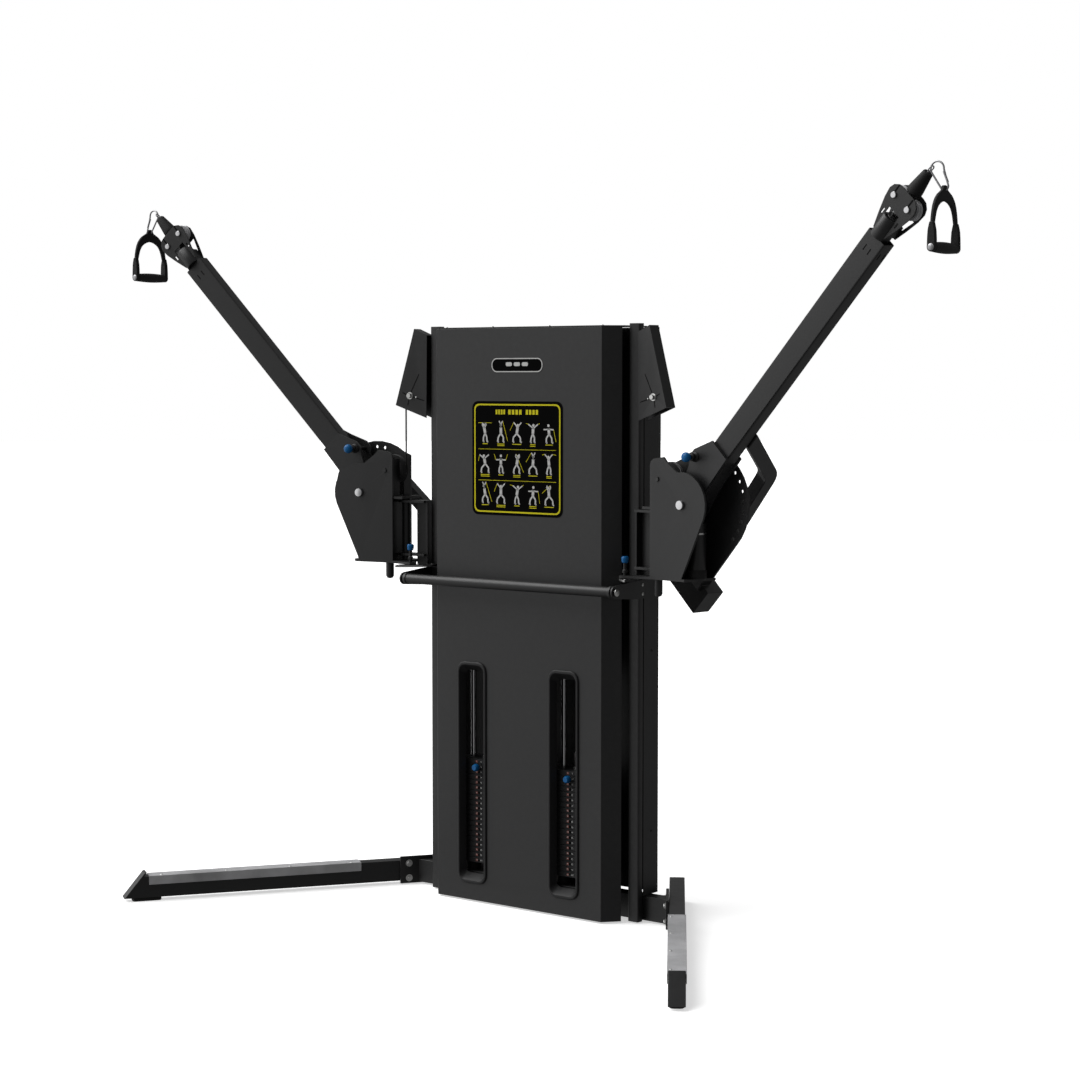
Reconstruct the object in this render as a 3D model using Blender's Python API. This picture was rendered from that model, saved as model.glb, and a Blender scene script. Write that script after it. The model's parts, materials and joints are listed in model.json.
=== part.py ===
"""A dual cable crossover machine: a slim tower with two weight stacks, a V-shaped base on each side,
and two arms that swing about a vertical pin and pitch about a horizontal axle, each with a pulley head,
a cable end, a carabiner and a stirrup handle.

Metres, +Z up, the front of the machine faces -Y. The origin is on the floor, at the middle of the
machine's outer box. Left and right are those of a person looking at the front, so right is +X.
Side parts are modelled once and mirrored: side is +1 on the right and -1 on the left."""

import math

import bmesh
import bpy
from mathutils import Matrix, Vector

# ---------------------------------------------------------------- driving dimensions
FRONT_Y = 0.1357          # the front cover's face; centres the whole machine on the origin
CLEAR = 0.0004            # gap between pieces that touch
PIN_DRAWN = 0.009         # how far both locking pins are drawn out of their holes

# Tower
COVER_HALF = 0.350        # half the flat part of the front cover
CHAMFER_X, CHAMFER_Y = 0.045, 0.052
COVER_BOTTOM, COVER_TOP, COVER_SPLIT = 0.007, 1.962, 1.110
SHEET = 0.002             # sheet metal thickness
COLUMN_X = (0.402, 0.445)
COLUMN_Y = (0.078, 0.106)
COLUMN_Z = (0.005, 1.973)
TUBE_WALL = 0.003
BACK_Y = 0.191
BACK_BOTTOM = 0.0885
BEAM_Y = (0.112, 0.162)
BEAM_TOP = 0.088

# Windows and stacks
STACK_X = 0.196           # centre of each stack and window
WINDOW_Z = 0.4475
WINDOW_CUT = (0.112, 0.750)
PLATE_HALF = 0.100        # half a weight plate, across the machine
PLATE_Y = (0.036, 0.132)
PLATE_PITCH = 0.018
PLATES, PLATES_LIFTED = 20, 2
STACK_BOTTOM = 0.130
ROD_R, ROD_HOLE_R, ROD_SPREAD = 0.010, 0.0112, 0.062

# Grip bar
BAR_R, BAR_Y, BAR_Z, BAR_HALF = 0.017, -0.062, 1.107, 0.4405

# Legs: t runs back from the front tip, w outwards from the inner side
LEG_TIP = (1.131, -0.743)
LEG_ANGLE = math.radians(34.4)
LEG_LENGTH, LEG_WIDTH = 1.410, 0.052
LEG_BOTTOM, LEG_TOP, END_PLATE_TOP = 0.012, 0.085, 0.099
TREAD_T = (0.086, 0.834)
FLANGE_T = (0.975, 1.160)

# Yaw axis and carriage: u runs outwards from the yaw axis, v to the rear
YAW_X, YAW_Y = 0.540, 0.058
ARM_YAW = math.radians(9.2)
SHAFT_R, SHAFT_HOLE_R = 0.0148, 0.0155
PLATE_IN, PLATE_OUT = 0.056, 0.064
PITCH_U, PITCH_Z = 0.154, 1.395
AXLE_R, AXLE_HOLE_R = 0.0120, 0.0127
BOSS_R, DISC_R, HOLE_CIRCLE_R = 0.104, 0.178, 0.157
PIN_R, PIN_HOLE_R = 0.0060, 0.0066
HOLE_STEP = math.radians(12)
HOLES_DOWN, HOLES_UP = 10, 2
FLOOR_PLATE_Z = (1.152, 1.160)
DECK_Z = (1.376, 1.384)
YAW_PIN_R, YAW_PIN_U, YAW_PIN_V = 0.0055, -0.070, -0.087
CARRIAGE_PULLEY = (0.050, 1.474)
CARRIAGE_PULLEY_R = 0.054

# Arm: d runs along the arm from the pitch axis, p at right angles to it, upwards
ARM_PITCH = math.radians(46.4)
TUBE_D, TUBE_P, TUBE_V = (0.200, 1.100), (-0.018, 0.062), 0.025
CHEEK_V = (0.0290, 0.0370)
PIN_ANGLE = math.radians(30.2)
HANDLE_WIDTH, HANDLE_P = 0.046, (-0.024, 0.024)
HANDLE_ROOT, HANDLE_CORNER, HANDLE_END = (0.3285, 0.0254), (0.147, 0.270), (-0.400, 0.3415)
WEIGHT_D, WEIGHT_V, WEIGHT_P = (-0.480, -0.381), (0.300, 0.378), (-0.060, 0.105)

# Head: e runs on from the end of the arm tube, about the swivel axis at p = HEAD_P
HEAD_P = 0.022
HEAD_PLATE_V = (0.0220, 0.0260)
HEAD_PULLEY_E, HEAD_PULLEY_Q, HEAD_PULLEY_R = 0.129, 0.0335, 0.0305
CABLE_R = 0.0028

# Carabiner and stirrup: w runs out from the cable's eye, b across the stirrup, z up from the eye
EYE_E, EYE_R = 0.2600, 0.0130
LOOP_TOP, LOOP_TOP_R = (0.0180, -0.0035), 0.0210
LOOP_LOW, LOOP_LOW_R = (0.0415, -0.0535), 0.0125
WIRE_R = 0.0028
HANG_TURN = math.radians(9)

# Wing bracket that carries the upper pulley
WING_V = (-0.0095, 0.0325)
WING_PULLEY = (-0.0213, 1.734)
WING_PULLEY_R = 0.0262

SIDES = (("left", -1), ("right", 1))
SEGMENTS = 20


# ---------------------------------------------------------------- scene and materials
def clear_scene():
    for obj in list(bpy.data.objects):
        bpy.data.objects.remove(obj, do_unlink=True)


def material(name, colour, roughness, metallic):
    made = bpy.data.materials.new(name)
    made.use_nodes = True
    shader = made.node_tree.nodes["Principled BSDF"]
    shader.inputs["Base Color"].default_value = (*colour, 1.0)
    shader.inputs["Roughness"].default_value = roughness
    shader.inputs["Metallic"].default_value = metallic
    return made


def make_materials():
    return {
        "frame": material("frame_black", (0.030, 0.030, 0.032), 0.55, 0.1),
        "cover": material("cover_black", (0.034, 0.034, 0.036), 0.60, 0.1),
        "trim": material("trim_black", (0.020, 0.020, 0.021), 0.45, 0.0),
        "rubber": material("rubber_black", (0.015, 0.015, 0.015), 0.80, 0.0),
        "steel": material("bright_steel", (0.62, 0.62, 0.63), 0.25, 1.0),
        "iron": material("stack_grey", (0.040, 0.040, 0.042), 0.60, 0.5),
        "knob": material("knob_blue", (0.0, 0.08, 0.26), 0.35, 0.0),
        "tread": material("tread_silver", (0.48, 0.48, 0.49), 0.55, 0.5),
        "pulley": material("pulley_grey", (0.45, 0.45, 0.46), 0.50, 0.0),
    }


def empty(name, location=(0, 0, 0), rotation=(0, 0, 0), parent=None):
    """A frame that parts are parented to; its place is relative to its parent's."""
    made = bpy.data.objects.new(name, None)
    made.empty_display_size = 0.05
    bpy.context.scene.collection.objects.link(made)
    made.parent = parent
    made.location = location
    made.rotation_euler = rotation
    return made


# ---------------------------------------------------------------- shapes
def in_plane(plane, a, b, c):
    """The point with a and b in the named plane and c along the axis across it."""
    return {"xy": (a, b, c), "xz": (a, c, b), "yz": (c, a, b)}[plane]


def arc(cx, cy, radius, start, end, steps):
    """Points along an arc, angles in degrees."""
    angles = [math.radians(start + (end - start) * i / steps) for i in range(steps + 1)]
    return [(cx + radius * math.cos(a), cy + radius * math.sin(a)) for a in angles]


def rounded(width, height, radius, steps=3, centre=(0.0, 0.0)):
    """A rectangle with round corners."""
    points = []
    for sx, sy, start in ((1, 1, 0), (-1, 1, 90), (-1, -1, 180), (1, -1, 270)):
        cx = centre[0] + sx * (width / 2 - radius)
        cy = centre[1] + sy * (height / 2 - radius)
        points += arc(cx, cy, radius, start, start + 90, steps)
    return points


def offset(path, distance):
    """The open path moved sideways by distance, to its left, with mitred corners."""
    moved = []
    for i, point in enumerate(path):
        here = Vector(point)
        before = (here - Vector(path[i - 1])).normalized() if i else None
        after = (Vector(path[i + 1]) - here).normalized() if i + 1 < len(path) else None
        a = before or after
        b = after or before
        normal = Vector((-a.y - b.y, a.x + b.x)).normalized()
        moved.append(tuple(here + normal * distance / normal.dot(Vector((-a.y, a.x)))))
    return moved


def strip(path, thickness):
    """The outline of a bent sheet that follows path."""
    return list(path) + offset(path, thickness)[::-1]


def prism(outline, lo, hi, plane):
    bm = bmesh.new()
    low = [bm.verts.new(in_plane(plane, a, b, lo)) for a, b in outline]
    high = [bm.verts.new(in_plane(plane, a, b, hi)) for a, b in outline]
    bm.faces.new(low[::-1])
    bm.faces.new(high)
    bridge(bm, low, high)
    return bm


def bridge(bm, first, second):
    for i in range(len(first)):
        j = (i + 1) % len(first)
        bm.faces.new((first[i], first[j], second[j], second[i]))


def ring_of_loops(loops):
    """A closed band through loops of points, each joined to the next and the last to the first."""
    bm = bmesh.new()
    made = [[bm.verts.new(point) for point in loop] for loop in loops]
    for i, loop in enumerate(made):
        bridge(bm, loop, made[(i + 1) % len(made)])
    return bm


def hollow(outer, inner, lo, hi, plane):
    """A tube between two outlines with the same number of points, open at both ends."""
    places = ((outer, lo), (outer, hi), (inner, hi), (inner, lo))
    return ring_of_loops([[in_plane(plane, a, b, c) for a, b in line] for line, c in places])


def box(lo, hi):
    outline = [(lo[0], lo[1]), (hi[0], lo[1]), (hi[0], hi[1]), (lo[0], hi[1])]
    return prism(outline, lo[2], hi[2], "xy")


def turned(profile, centre, plane, segments=SEGMENTS):
    """A solid of revolution. profile holds (radius, place along the axis), from one pole to the other;
    centre is the axis's point in the plane across it."""
    bm = bmesh.new()
    rings = []
    for radius, along in profile:
        if radius < 1e-9:
            rings.append([bm.verts.new(in_plane(plane, *centre, along))])
            continue
        turn = arc(*centre, radius, 0, 360 * (segments - 1) / segments, segments - 1)
        rings.append([bm.verts.new(in_plane(plane, a, b, along)) for a, b in turn])
    for first, second in zip(rings, rings[1:]):
        if len(first) > 1 and len(second) > 1:
            bridge(bm, first, second)
            continue
        point, ring = (first[0], second) if len(first) == 1 else (second[0], first)
        for i in range(segments):
            bm.faces.new((point, ring[i], ring[(i + 1) % segments]))
    return bm


def cylinder(radius, lo, hi, centre, plane, segments=SEGMENTS):
    return turned([(0, lo), (radius, lo), (radius, hi), (0, hi)], centre, plane, segments)


def turned_ring(profile, centre, plane, segments=SEGMENTS):
    """As turned, for a closed profile that stays off the axis, such as a pulley's."""
    loops = []
    for radius, along in profile:
        turn = arc(*centre, radius, 0, 360 * (segments - 1) / segments, segments - 1)
        loops.append([in_plane(plane, a, b, along) for a, b in turn])
    return ring_of_loops(loops)


def swept(path, radius, sides=8, closed=False):
    """A round bar along a path."""
    bm = bmesh.new()
    points = [Vector(p) for p in path]
    count = len(points)
    across = Vector((0, 1, 0)) if abs((points[1] - points[0]).normalized().y) < 0.7 else Vector((1, 0, 0))
    rings = []
    for i, here in enumerate(points):
        after = points[(i + 1) % count] if closed or i + 1 < count else here
        before = points[i - 1] if closed or i else here
        along = (after - before).normalized()
        side = (across - along * across.dot(along)).normalized()
        across = side
        up = along.cross(side)
        turn = [2 * math.pi * k / sides for k in range(sides)]
        rings.append([bm.verts.new(here + (side * math.cos(a) + up * math.sin(a)) * radius) for a in turn])
    for first, second in zip(rings, rings[1:]):
        bridge(bm, first, second)
    if closed:
        bridge(bm, rings[-1], rings[0])
    else:
        bm.faces.new(rings[0][::-1])
        bm.faces.new(rings[-1])
    return bm


# ---------------------------------------------------------------- objects
def solid(name, bm, finish, frame=None, side=1):
    """Makes the object. x is multiplied by side, which mirrors a side part."""
    bmesh.ops.scale(bm, vec=(side, 1, 1), verts=bm.verts)
    bmesh.ops.recalc_face_normals(bm, faces=bm.faces)
    mesh = bpy.data.meshes.new(name)
    bm.to_mesh(mesh)
    bm.free()
    mesh.shade_smooth()
    mesh.set_sharp_from_angle(angle=math.radians(35))
    obj = bpy.data.objects.new(name, mesh)
    bpy.context.scene.collection.objects.link(obj)
    obj.parent = frame
    if finish:
        mesh.materials.append(finish)
    return obj


def change(obj, operation, shapes, side=1):
    """Adds shapes to obj, or cuts them away, with one Boolean each."""
    for number, shape in enumerate(shapes):
        label = f"{obj.name}_{operation.lower()}_{len(obj.modifiers) + number}"
        other = solid(label, shape, None, obj.parent, side)
        other.hide_render = True
        other.display_type = "WIRE"
        modifier = obj.modifiers.new(label, "BOOLEAN")
        modifier.operation = operation
        modifier.object = other
        modifier.solver = "EXACT"
    return obj


def weld(obj, shapes, side=1):
    return change(obj, "UNION", shapes, side)


def cut(obj, shapes, side=1):
    return change(obj, "DIFFERENCE", shapes, side)


# ---------------------------------------------------------------- tower
def cover_path():
    """The front cover's outer face, in plan, from left to right."""
    edge = COVER_HALF + CHAMFER_X
    right = [(COVER_HALF, 0.0), (edge, CHAMFER_Y), (edge - 0.010, CHAMFER_Y + 0.0085)]
    return [(-x, y) for x, y in right[::-1]] + right


def window_outline(width, height, radius, side):
    return rounded(width, height, radius, 3, (side * STACK_X, WINDOW_Z))


def make_covers(tower, finish):
    outline = strip(cover_path(), SHEET)
    split_gap = 0.002
    upper = prism(outline, COVER_SPLIT + split_gap, COVER_TOP, "xy")
    solid("front_cover_upper", upper, finish["cover"], tower)
    lower = prism(outline, COVER_BOTTOM, COVER_SPLIT - split_gap, "xy")
    lower = solid("front_cover_lower", lower, finish["cover"], tower)
    cut(lower, [prism(window_outline(*WINDOW_CUT, 0.026, side), -0.01, 0.01, "xz") for _, side in SIDES])
    back = [(-COLUMN_X[1], COLUMN_Y[1] + 0.001), (-COLUMN_X[1], BACK_Y)]
    back += [(-x, y) for x, y in back[::-1]]
    rear = prism(strip(back, -SHEET), BACK_BOTTOM, COVER_TOP, "xy")
    solid("rear_cover", rear, finish["cover"], tower)
    inner = COLUMN_X[0] - 0.002
    plan = [(-0.345, 0.004), (0.345, 0.004), (0.388, 0.054), (inner, 0.078), (inner, 0.185)]
    plan += [(-inner, 0.185), (-inner, 0.078), (-0.388, 0.054)]
    solid("top_plate", prism(plan, 1.9630, 1.9665, "xy"), finish["frame"], tower)


def make_bezel(name, side, tower, finish):
    """A moulded frame that clips into the window, sloping in towards the glassless opening."""
    steps = ((0.120, 0.759, -0.0060, 0.030), (0.126, 0.765, -0.0035, 0.033), (0.126, 0.765, -CLEAR, 0.033),
             (0.1105, 0.7485, -CLEAR, 0.0255), (0.1000, 0.7150, 0.0220, 0.020), (0.088, 0.700, 0.0220, 0.016),
             (0.108, 0.744, -0.0060, 0.024))
    loops = []
    for width, height, y, radius in steps:
        loops.append([(x, y, z) for x, z in window_outline(width, height, radius, side)])
    solid(name, ring_of_loops(loops), finish["trim"], tower)


def make_column(name, side, tower, finish):
    centre = (sum(COLUMN_X) / 2, sum(COLUMN_Y) / 2)
    width, depth = COLUMN_X[1] - COLUMN_X[0], COLUMN_Y[1] - COLUMN_Y[0]
    outer = rounded(width, depth, 0.006, 2, centre)
    inner = rounded(width - 2 * TUBE_WALL, depth - 2 * TUBE_WALL, 0.003, 2, centre)
    solid(name, hollow(outer, inner, *COLUMN_Z, "xy"), finish["frame"], tower, side)


def make_grip(tower, finish):
    """The round bar across the front, held at its ends by a plate on each column."""
    ends = ((0, -BAR_HALF), (0.0200, -BAR_HALF), (0.0200, -BAR_HALF + 0.012), (BAR_R, -BAR_HALF + 0.012))
    profile = list(ends) + [(r, -x) for r, x in ends[::-1]]
    solid("grip_bar", turned(profile, (BAR_Y, BAR_Z), "yz"), finish["frame"], tower)
    for name, side in SIDES:
        outline = arc(BAR_Y, BAR_Z, 0.021, 90, 270, 6)
        outline += [(0.055, 1.077), (0.100, 1.077), (0.100, 1.138), (0.055, 1.138)]
        plate = prism(outline, 0.4455, 0.4515, "yz")
        plate = solid(f"grip_bracket_{name}", plate, finish["frame"], tower, side)
        bolt = [(0, 0.4410), (0.0075, 0.4410), (0.0075, 0.4570), (0, 0.4570)]
        weld(plate, [turned(bolt, (BAR_Y, BAR_Z), "yz", 12)], side)


def leg_x(y, outwards):
    """Where the plane at this distance outwards from the leg's inner side crosses y."""
    along = (y - LEG_TIP[1] - outwards * math.sin(LEG_ANGLE)) / math.cos(LEG_ANGLE)
    return LEG_TIP[0] + outwards * math.cos(LEG_ANGLE) - along * math.sin(LEG_ANGLE)


def make_base(tower, finish):
    """The cross beam, a channel open below, with a flange plate at each end that the legs bolt to."""
    right = [(leg_x(y, -0.008), y) for y in BEAM_Y]
    plan = right + [(-x, y) for x, y in right[::-1]]
    beam = solid("base_frame", prism(plan, COVER_BOTTOM, BEAM_TOP, "xy"), finish["frame"], tower)
    cut(beam, [box((-1.0, BEAM_Y[0] + 0.004, 0.0), (1.0, BEAM_Y[1] - 0.004, BEAM_TOP - 0.004))])
    for _, side in SIDES:
        plate = box((-0.0104, FLANGE_T[0], 0.004), (-CLEAR, FLANGE_T[1], 0.100))
        bmesh.ops.scale(plate, vec=(side, 1, 1), verts=plate.verts)
        bmesh.ops.transform(plate, matrix=leg_matrix(side), verts=plate.verts)
        weld(beam, [plate])


def leg_matrix(side):
    spot = Matrix.Translation((side * LEG_TIP[0], LEG_TIP[1], 0))
    return spot @ Matrix.Rotation(side * LEG_ANGLE, 4, "Z")


def make_leg(name, side, tower, finish):
    spot = (side * LEG_TIP[0], LEG_TIP[1], 0)
    frame = empty(f"leg_frame_{name}", spot, (0, 0, side * LEG_ANGLE), tower)
    slope = [(0.0, LEG_BOTTOM), (LEG_LENGTH, LEG_BOTTOM), (LEG_LENGTH, LEG_TOP), (0.068, LEG_TOP)]
    slope += [(0.0795, END_PLATE_TOP), (0.0715, END_PLATE_TOP)]
    leg = solid(f"leg_{name}", prism(slope, 0, LEG_WIDTH, "yz"), finish["frame"], frame, side)
    wall = 0.004
    inside = box((wall, 0.100, LEG_BOTTOM + wall), (LEG_WIDTH - wall, LEG_LENGTH + 0.1, LEG_TOP - wall))
    cut(leg, [inside], side)
    make_tread(name, side, frame, finish)
    for place, start in (("front", 0.030), ("rear", LEG_LENGTH - 0.120)):
        pad = rounded(LEG_WIDTH - 0.008, 0.100, 0.012, 2, (LEG_WIDTH / 2, start + 0.050))
        pad = prism(pad, 0.0, LEG_BOTTOM - CLEAR, "xy")
        solid(f"foot_{place}_{name}", pad, finish["rubber"], frame, side)


def make_tread(name, side, frame, finish):
    """The bright anti-slip channel over the front of the leg."""
    skin, drop = 0.0025, 0.028
    path = [(-CLEAR, LEG_TOP - drop), (-CLEAR, LEG_TOP + CLEAR), (LEG_WIDTH + CLEAR, LEG_TOP + CLEAR)]
    path.append((LEG_WIDTH + CLEAR, LEG_TOP - drop))
    solid(f"leg_tread_{name}", prism(strip(path, skin), *TREAD_T, "xz"), finish["tread"], frame, side)


# ---------------------------------------------------------------- weight stacks
def rod_places():
    middle = sum(PLATE_Y) / 2
    return [(STACK_X - ROD_SPREAD, middle), (STACK_X + ROD_SPREAD, middle)]


def make_stack(name, side, tower, finish):
    split = STACK_BOTTOM + (PLATES - PLATES_LIFTED) * PLATE_PITCH
    top = STACK_BOTTOM + PLATES * PLATE_PITCH
    width, depth = 2 * PLATE_HALF, PLATE_Y[1] - PLATE_Y[0]
    outline = rounded(width, depth, 0.008, 2, (STACK_X, sum(PLATE_Y) / 2))
    for part, lo, hi in (("resting", STACK_BOTTOM, split - CLEAR), ("lifted", split, top)):
        block = solid(f"{part}_plates_{name}", prism(outline, lo, hi, "xy"), finish["iron"], tower, side)
        holes = [cylinder(ROD_HOLE_R, lo - 0.01, hi + 0.01, spot, "xy", 12) for spot in rod_places()]
        if part == "lifted":
            spot = (STACK_X, split + 0.009)
            holes.append(cylinder(0.0056, PLATE_Y[0] - 0.01, PLATE_Y[0] + 0.062, spot, "xz", 12))
            stem = cylinder(0.014, hi - 0.002, hi + 0.060, (STACK_X, sum(PLATE_Y) / 2), "xy", 12)
            weld(block, [stem], side)
        cut(block, holes, side)
    knob = [(0, 0.060), (0.0050, 0.060), (0.0050, -0.006), (0.011, -0.008), (0.013, -0.020)]
    knob += [(0.010, -0.028), (0, -0.028)]
    pin = turned([(r, PLATE_Y[0] + y) for r, y in knob[::-1]], (STACK_X, split + 0.009), "xz", 12)
    solid(f"selector_pin_{name}", pin, finish["knob"], tower, side)


def make_guides(name, side, tower, finish):
    """Two polished rods between a sill plate on the base and a tie bar at the top."""
    sill = box((STACK_X - 0.100, 0.040, BEAM_TOP + 0.0006), (STACK_X + 0.100, 0.160, BEAM_TOP + 0.0100))
    sill = solid(f"guide_frame_{name}", sill, finish["steel"], tower, side)
    shapes = [cylinder(ROD_R, BEAM_TOP + 0.005, 1.905, spot, "xy", 12) for spot in rod_places()]
    stops = STACK_BOTTOM - CLEAR
    shapes += [cylinder(0.024, BEAM_TOP + 0.005, stops, spot, "xy", 16) for spot in rod_places()]
    shapes.append(box((STACK_X - 0.085, 0.064, 1.895), (STACK_X + 0.085, 0.104, 1.925)))
    weld(sill, shapes, side)


# ---------------------------------------------------------------- wing and yaw bracket
def make_wing(name, side, frame, finish):
    """A bent sheet housing on the column for the pulley above the yaw axis, open below."""
    outline = [(-0.0915, 1.944), (-0.0395, 1.966), (0.0370, 1.701), (-0.0885, 1.657)]
    front, rear = WING_V
    wing = solid(f"wing_{name}", prism(outline, front, rear, "xz"), finish["frame"], frame, side)
    inside = [(-0.150, 1.920), (-0.0425, 1.9595), (0.0337, 1.695), (0.020, 1.630), (-0.150, 1.600)]
    axle = cylinder(0.0060, front - 0.006, rear + 0.001, WING_PULLEY, "xz", 12)
    cut(wing, [prism(inside, front + 0.003, rear - 0.003, "xz")], side)
    weld(wing, [axle], side)


def pulley_profile(radius, bore, half):
    """A grooved wheel, as a closed profile of (radius, place across)."""
    rim = half * 0.9
    return [(bore, -half), (radius, -half), (radius, -rim * 0.75), (radius - half, 0), (radius, rim * 0.75),
            (radius, half), (bore, half)]


def make_pulley(name, radius, bore, half, centre, frame, side, finish, segments=SEGMENTS):
    ring = turned_ring(pulley_profile(radius, bore, half), centre, "xz", segments)
    return solid(name, ring, finish["pulley"], frame, side)


def bracket_plate(reach, half):
    """The plan of a plate from the column to a round end on the yaw axis, in u and v."""
    return [(-reach, -half)] + arc(0, 0, half, -90, 90, 6) + [(-reach, half)]


def make_yaw_bracket(name, side, frame, finish):
    """Fixed to the column: two plates that hold the yaw shaft and, below, a perforated locking plate."""
    upper = prism(bracket_plate(0.088, 0.028), 1.362, 1.370, "xy")
    upper = solid(f"yaw_bracket_{name}", upper, finish["frame"], frame, side)
    mount = prism([(-0.096, -0.016), (-0.088, -0.016), (-0.078, 0.050), (-0.086, 0.050)], 1.1425, 1.370, "xy")
    lower = prism(bracket_plate(0.088, 0.028), 1.176, 1.184, "xy")
    inner, outer, start, end = 0.086, 0.130, 184, 256
    sector = arc(0, 0, outer, start, end, 10) + arc(0, 0, inner, end, start, 10)
    lock = prism(sector, 1.1425, 1.1495, "xy")
    web = box((-0.090, 0.006, 1.145), (-0.040, 0.012, 1.366))
    weld(upper, [mount, lower, web, lock], side)
    pin_angle = math.degrees(math.atan2(YAW_PIN_V, YAW_PIN_U)) % 360
    pin_reach = math.hypot(YAW_PIN_U, YAW_PIN_V)
    holes = [cylinder(SHAFT_HOLE_R, 1.15, 1.40, (0, 0), "xy")]
    for step in range(-2, 2):
        turn = math.radians(pin_angle - 20 * step)
        spot = (pin_reach * math.cos(turn), pin_reach * math.sin(turn))
        holes.append(cylinder(0.0062, 1.13, 1.16, spot, "xy", 10))
    cut(upper, holes, side)


def make_cable_drop(name, side, frame, finish):
    """The cable between the upper pulley and the carriage's."""
    low, high = CARRIAGE_PULLEY[1] + 0.002, WING_PULLEY[1] - 0.015
    cable = cylinder(CABLE_R, low, high, (0, 0), "xy", 8)
    solid(f"cable_drop_{name}", cable, finish["rubber"], frame, side)


# ---------------------------------------------------------------- carriage
def front_plate_outline():
    """Teardrop plate with a round boss about the pitch axis and a notch beside the pull pin."""
    lower = [(0.018, 1.156), (0.155, 1.156)]
    boss = arc(PITCH_U, PITCH_Z, BOSS_R, -22, 100, 9)
    return lower + boss + [(0.091, 1.529), (0.077, 1.545), (0.034, 1.539), (0.022, 1.531), (0.018, 1.518)]


def rear_plate_outline():
    lower = [(0.018, 1.156), (0.178, 1.156)]
    return lower + arc(PITCH_U, PITCH_Z, DISC_R, -46, 128, 16) + [(0.018, 1.525)]


def pitch_holes():
    """Places of the locking holes round the pitch axis; the pin sits in the one at step 0."""
    rest = ARM_PITCH + PIN_ANGLE
    turns = [rest + HOLE_STEP * step for step in range(-HOLES_DOWN, HOLES_UP + 1)]
    return [(PITCH_U + HOLE_CIRCLE_R * math.cos(a), PITCH_Z + HOLE_CIRCLE_R * math.sin(a)) for a in turns]


def make_carriage(name, side, frame, finish):
    front = prism(front_plate_outline(), -PLATE_OUT, -PLATE_IN, "xz")
    body = solid(f"carriage_{name}", front, finish["frame"], frame, side)
    overlap = 0.004
    across = (-PLATE_IN - overlap, PLATE_IN + overlap)
    ear = [(-0.030, -0.030), (-0.088, -0.078), (-0.090, -0.092), (-0.078, -0.106), (-0.060, -0.104)]
    ear += [(0.030, -0.064), (0.170, -0.064), (0.188, -0.045), (0.188, 0.064), (-0.030, 0.064)]
    rear = prism(rear_plate_outline(), PLATE_IN, PLATE_OUT, "xz")
    deck = box((-0.020, across[0], DECK_Z[0]), (0.052, across[1], DECK_Z[1]))
    web = box((0.031, across[0], FLOOR_PLATE_Z[1] - 0.002), (0.037, across[1], DECK_Z[0] + 0.002))
    shaft = cylinder(SHAFT_R, FLOOR_PLATE_Z[1] - 0.004, DECK_Z[0] + 0.004, (0, 0), "xy")
    damper = cylinder(0.028, FLOOR_PLATE_Z[1] - 0.004, 1.335, (0.167, 0.0), "xy")
    axle = cylinder(0.0080, -PLATE_OUT - 0.004, PLATE_OUT + 0.004, CARRIAGE_PULLEY, "xz", 12)
    stop = [(0, 1.095), (0.010, 1.098), (0.014, 1.106), (0.014, 1.155), (0, 1.155)]
    bumper = turned(stop, (0.040, -0.046), "xy", 12)
    weld(body, [prism(ear, *FLOOR_PLATE_Z, "xy"), rear, deck, web, shaft, damper, axle, bumper], side)
    holes = [cylinder(AXLE_HOLE_R, -0.1, 0.1, (PITCH_U, PITCH_Z), "xz", 16)]
    holes += [cylinder(PIN_HOLE_R, 0.04, 0.08, spot, "xz", 10) for spot in pitch_holes()]
    holes.append(cylinder(0.0062, 1.14, 1.17, (YAW_PIN_U, YAW_PIN_V), "xy", 10))
    cut(body, holes, side)
    spot = (YAW_PIN_U, YAW_PIN_V)
    tip, seat = 1.1500, FLOOR_PLATE_Z[1] + PIN_DRAWN
    knob = [(0, tip), (YAW_PIN_R, tip), (YAW_PIN_R, seat), (0.0090, seat), (0.0090, 1.178)]
    knob += [(0.0060, 1.180), (0.0060, 1.202), (0.0110, 1.205), (0.0120, 1.213), (0.0090, 1.222), (0, 1.222)]
    solid(f"yaw_pin_{name}", turned(knob, spot, "xy", 14), finish["knob"], frame, side)
    name = f"carriage_pulley_{name}"
    make_pulley(name, CARRIAGE_PULLEY_R, 0.0086, 0.009, CARRIAGE_PULLEY, frame, side, finish, 24)


# ---------------------------------------------------------------- arm
def pin_place():
    return (HOLE_CIRCLE_R * math.cos(PIN_ANGLE), HOLE_CIRCLE_R * math.sin(PIN_ANGLE))


def cheek_outline():
    """One side plate of the hub: round about the axle, with an ear for the pull pin."""
    eye = arc(0, 0, 0.040, 130, 300, 7)
    tail = [(0.110, -0.0235), (0.222, -0.0195), (0.222, 0.0635), (0.150, 0.100), (0.122, 0.100)]
    return eye + tail + [(0.104, 0.084)]


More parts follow.
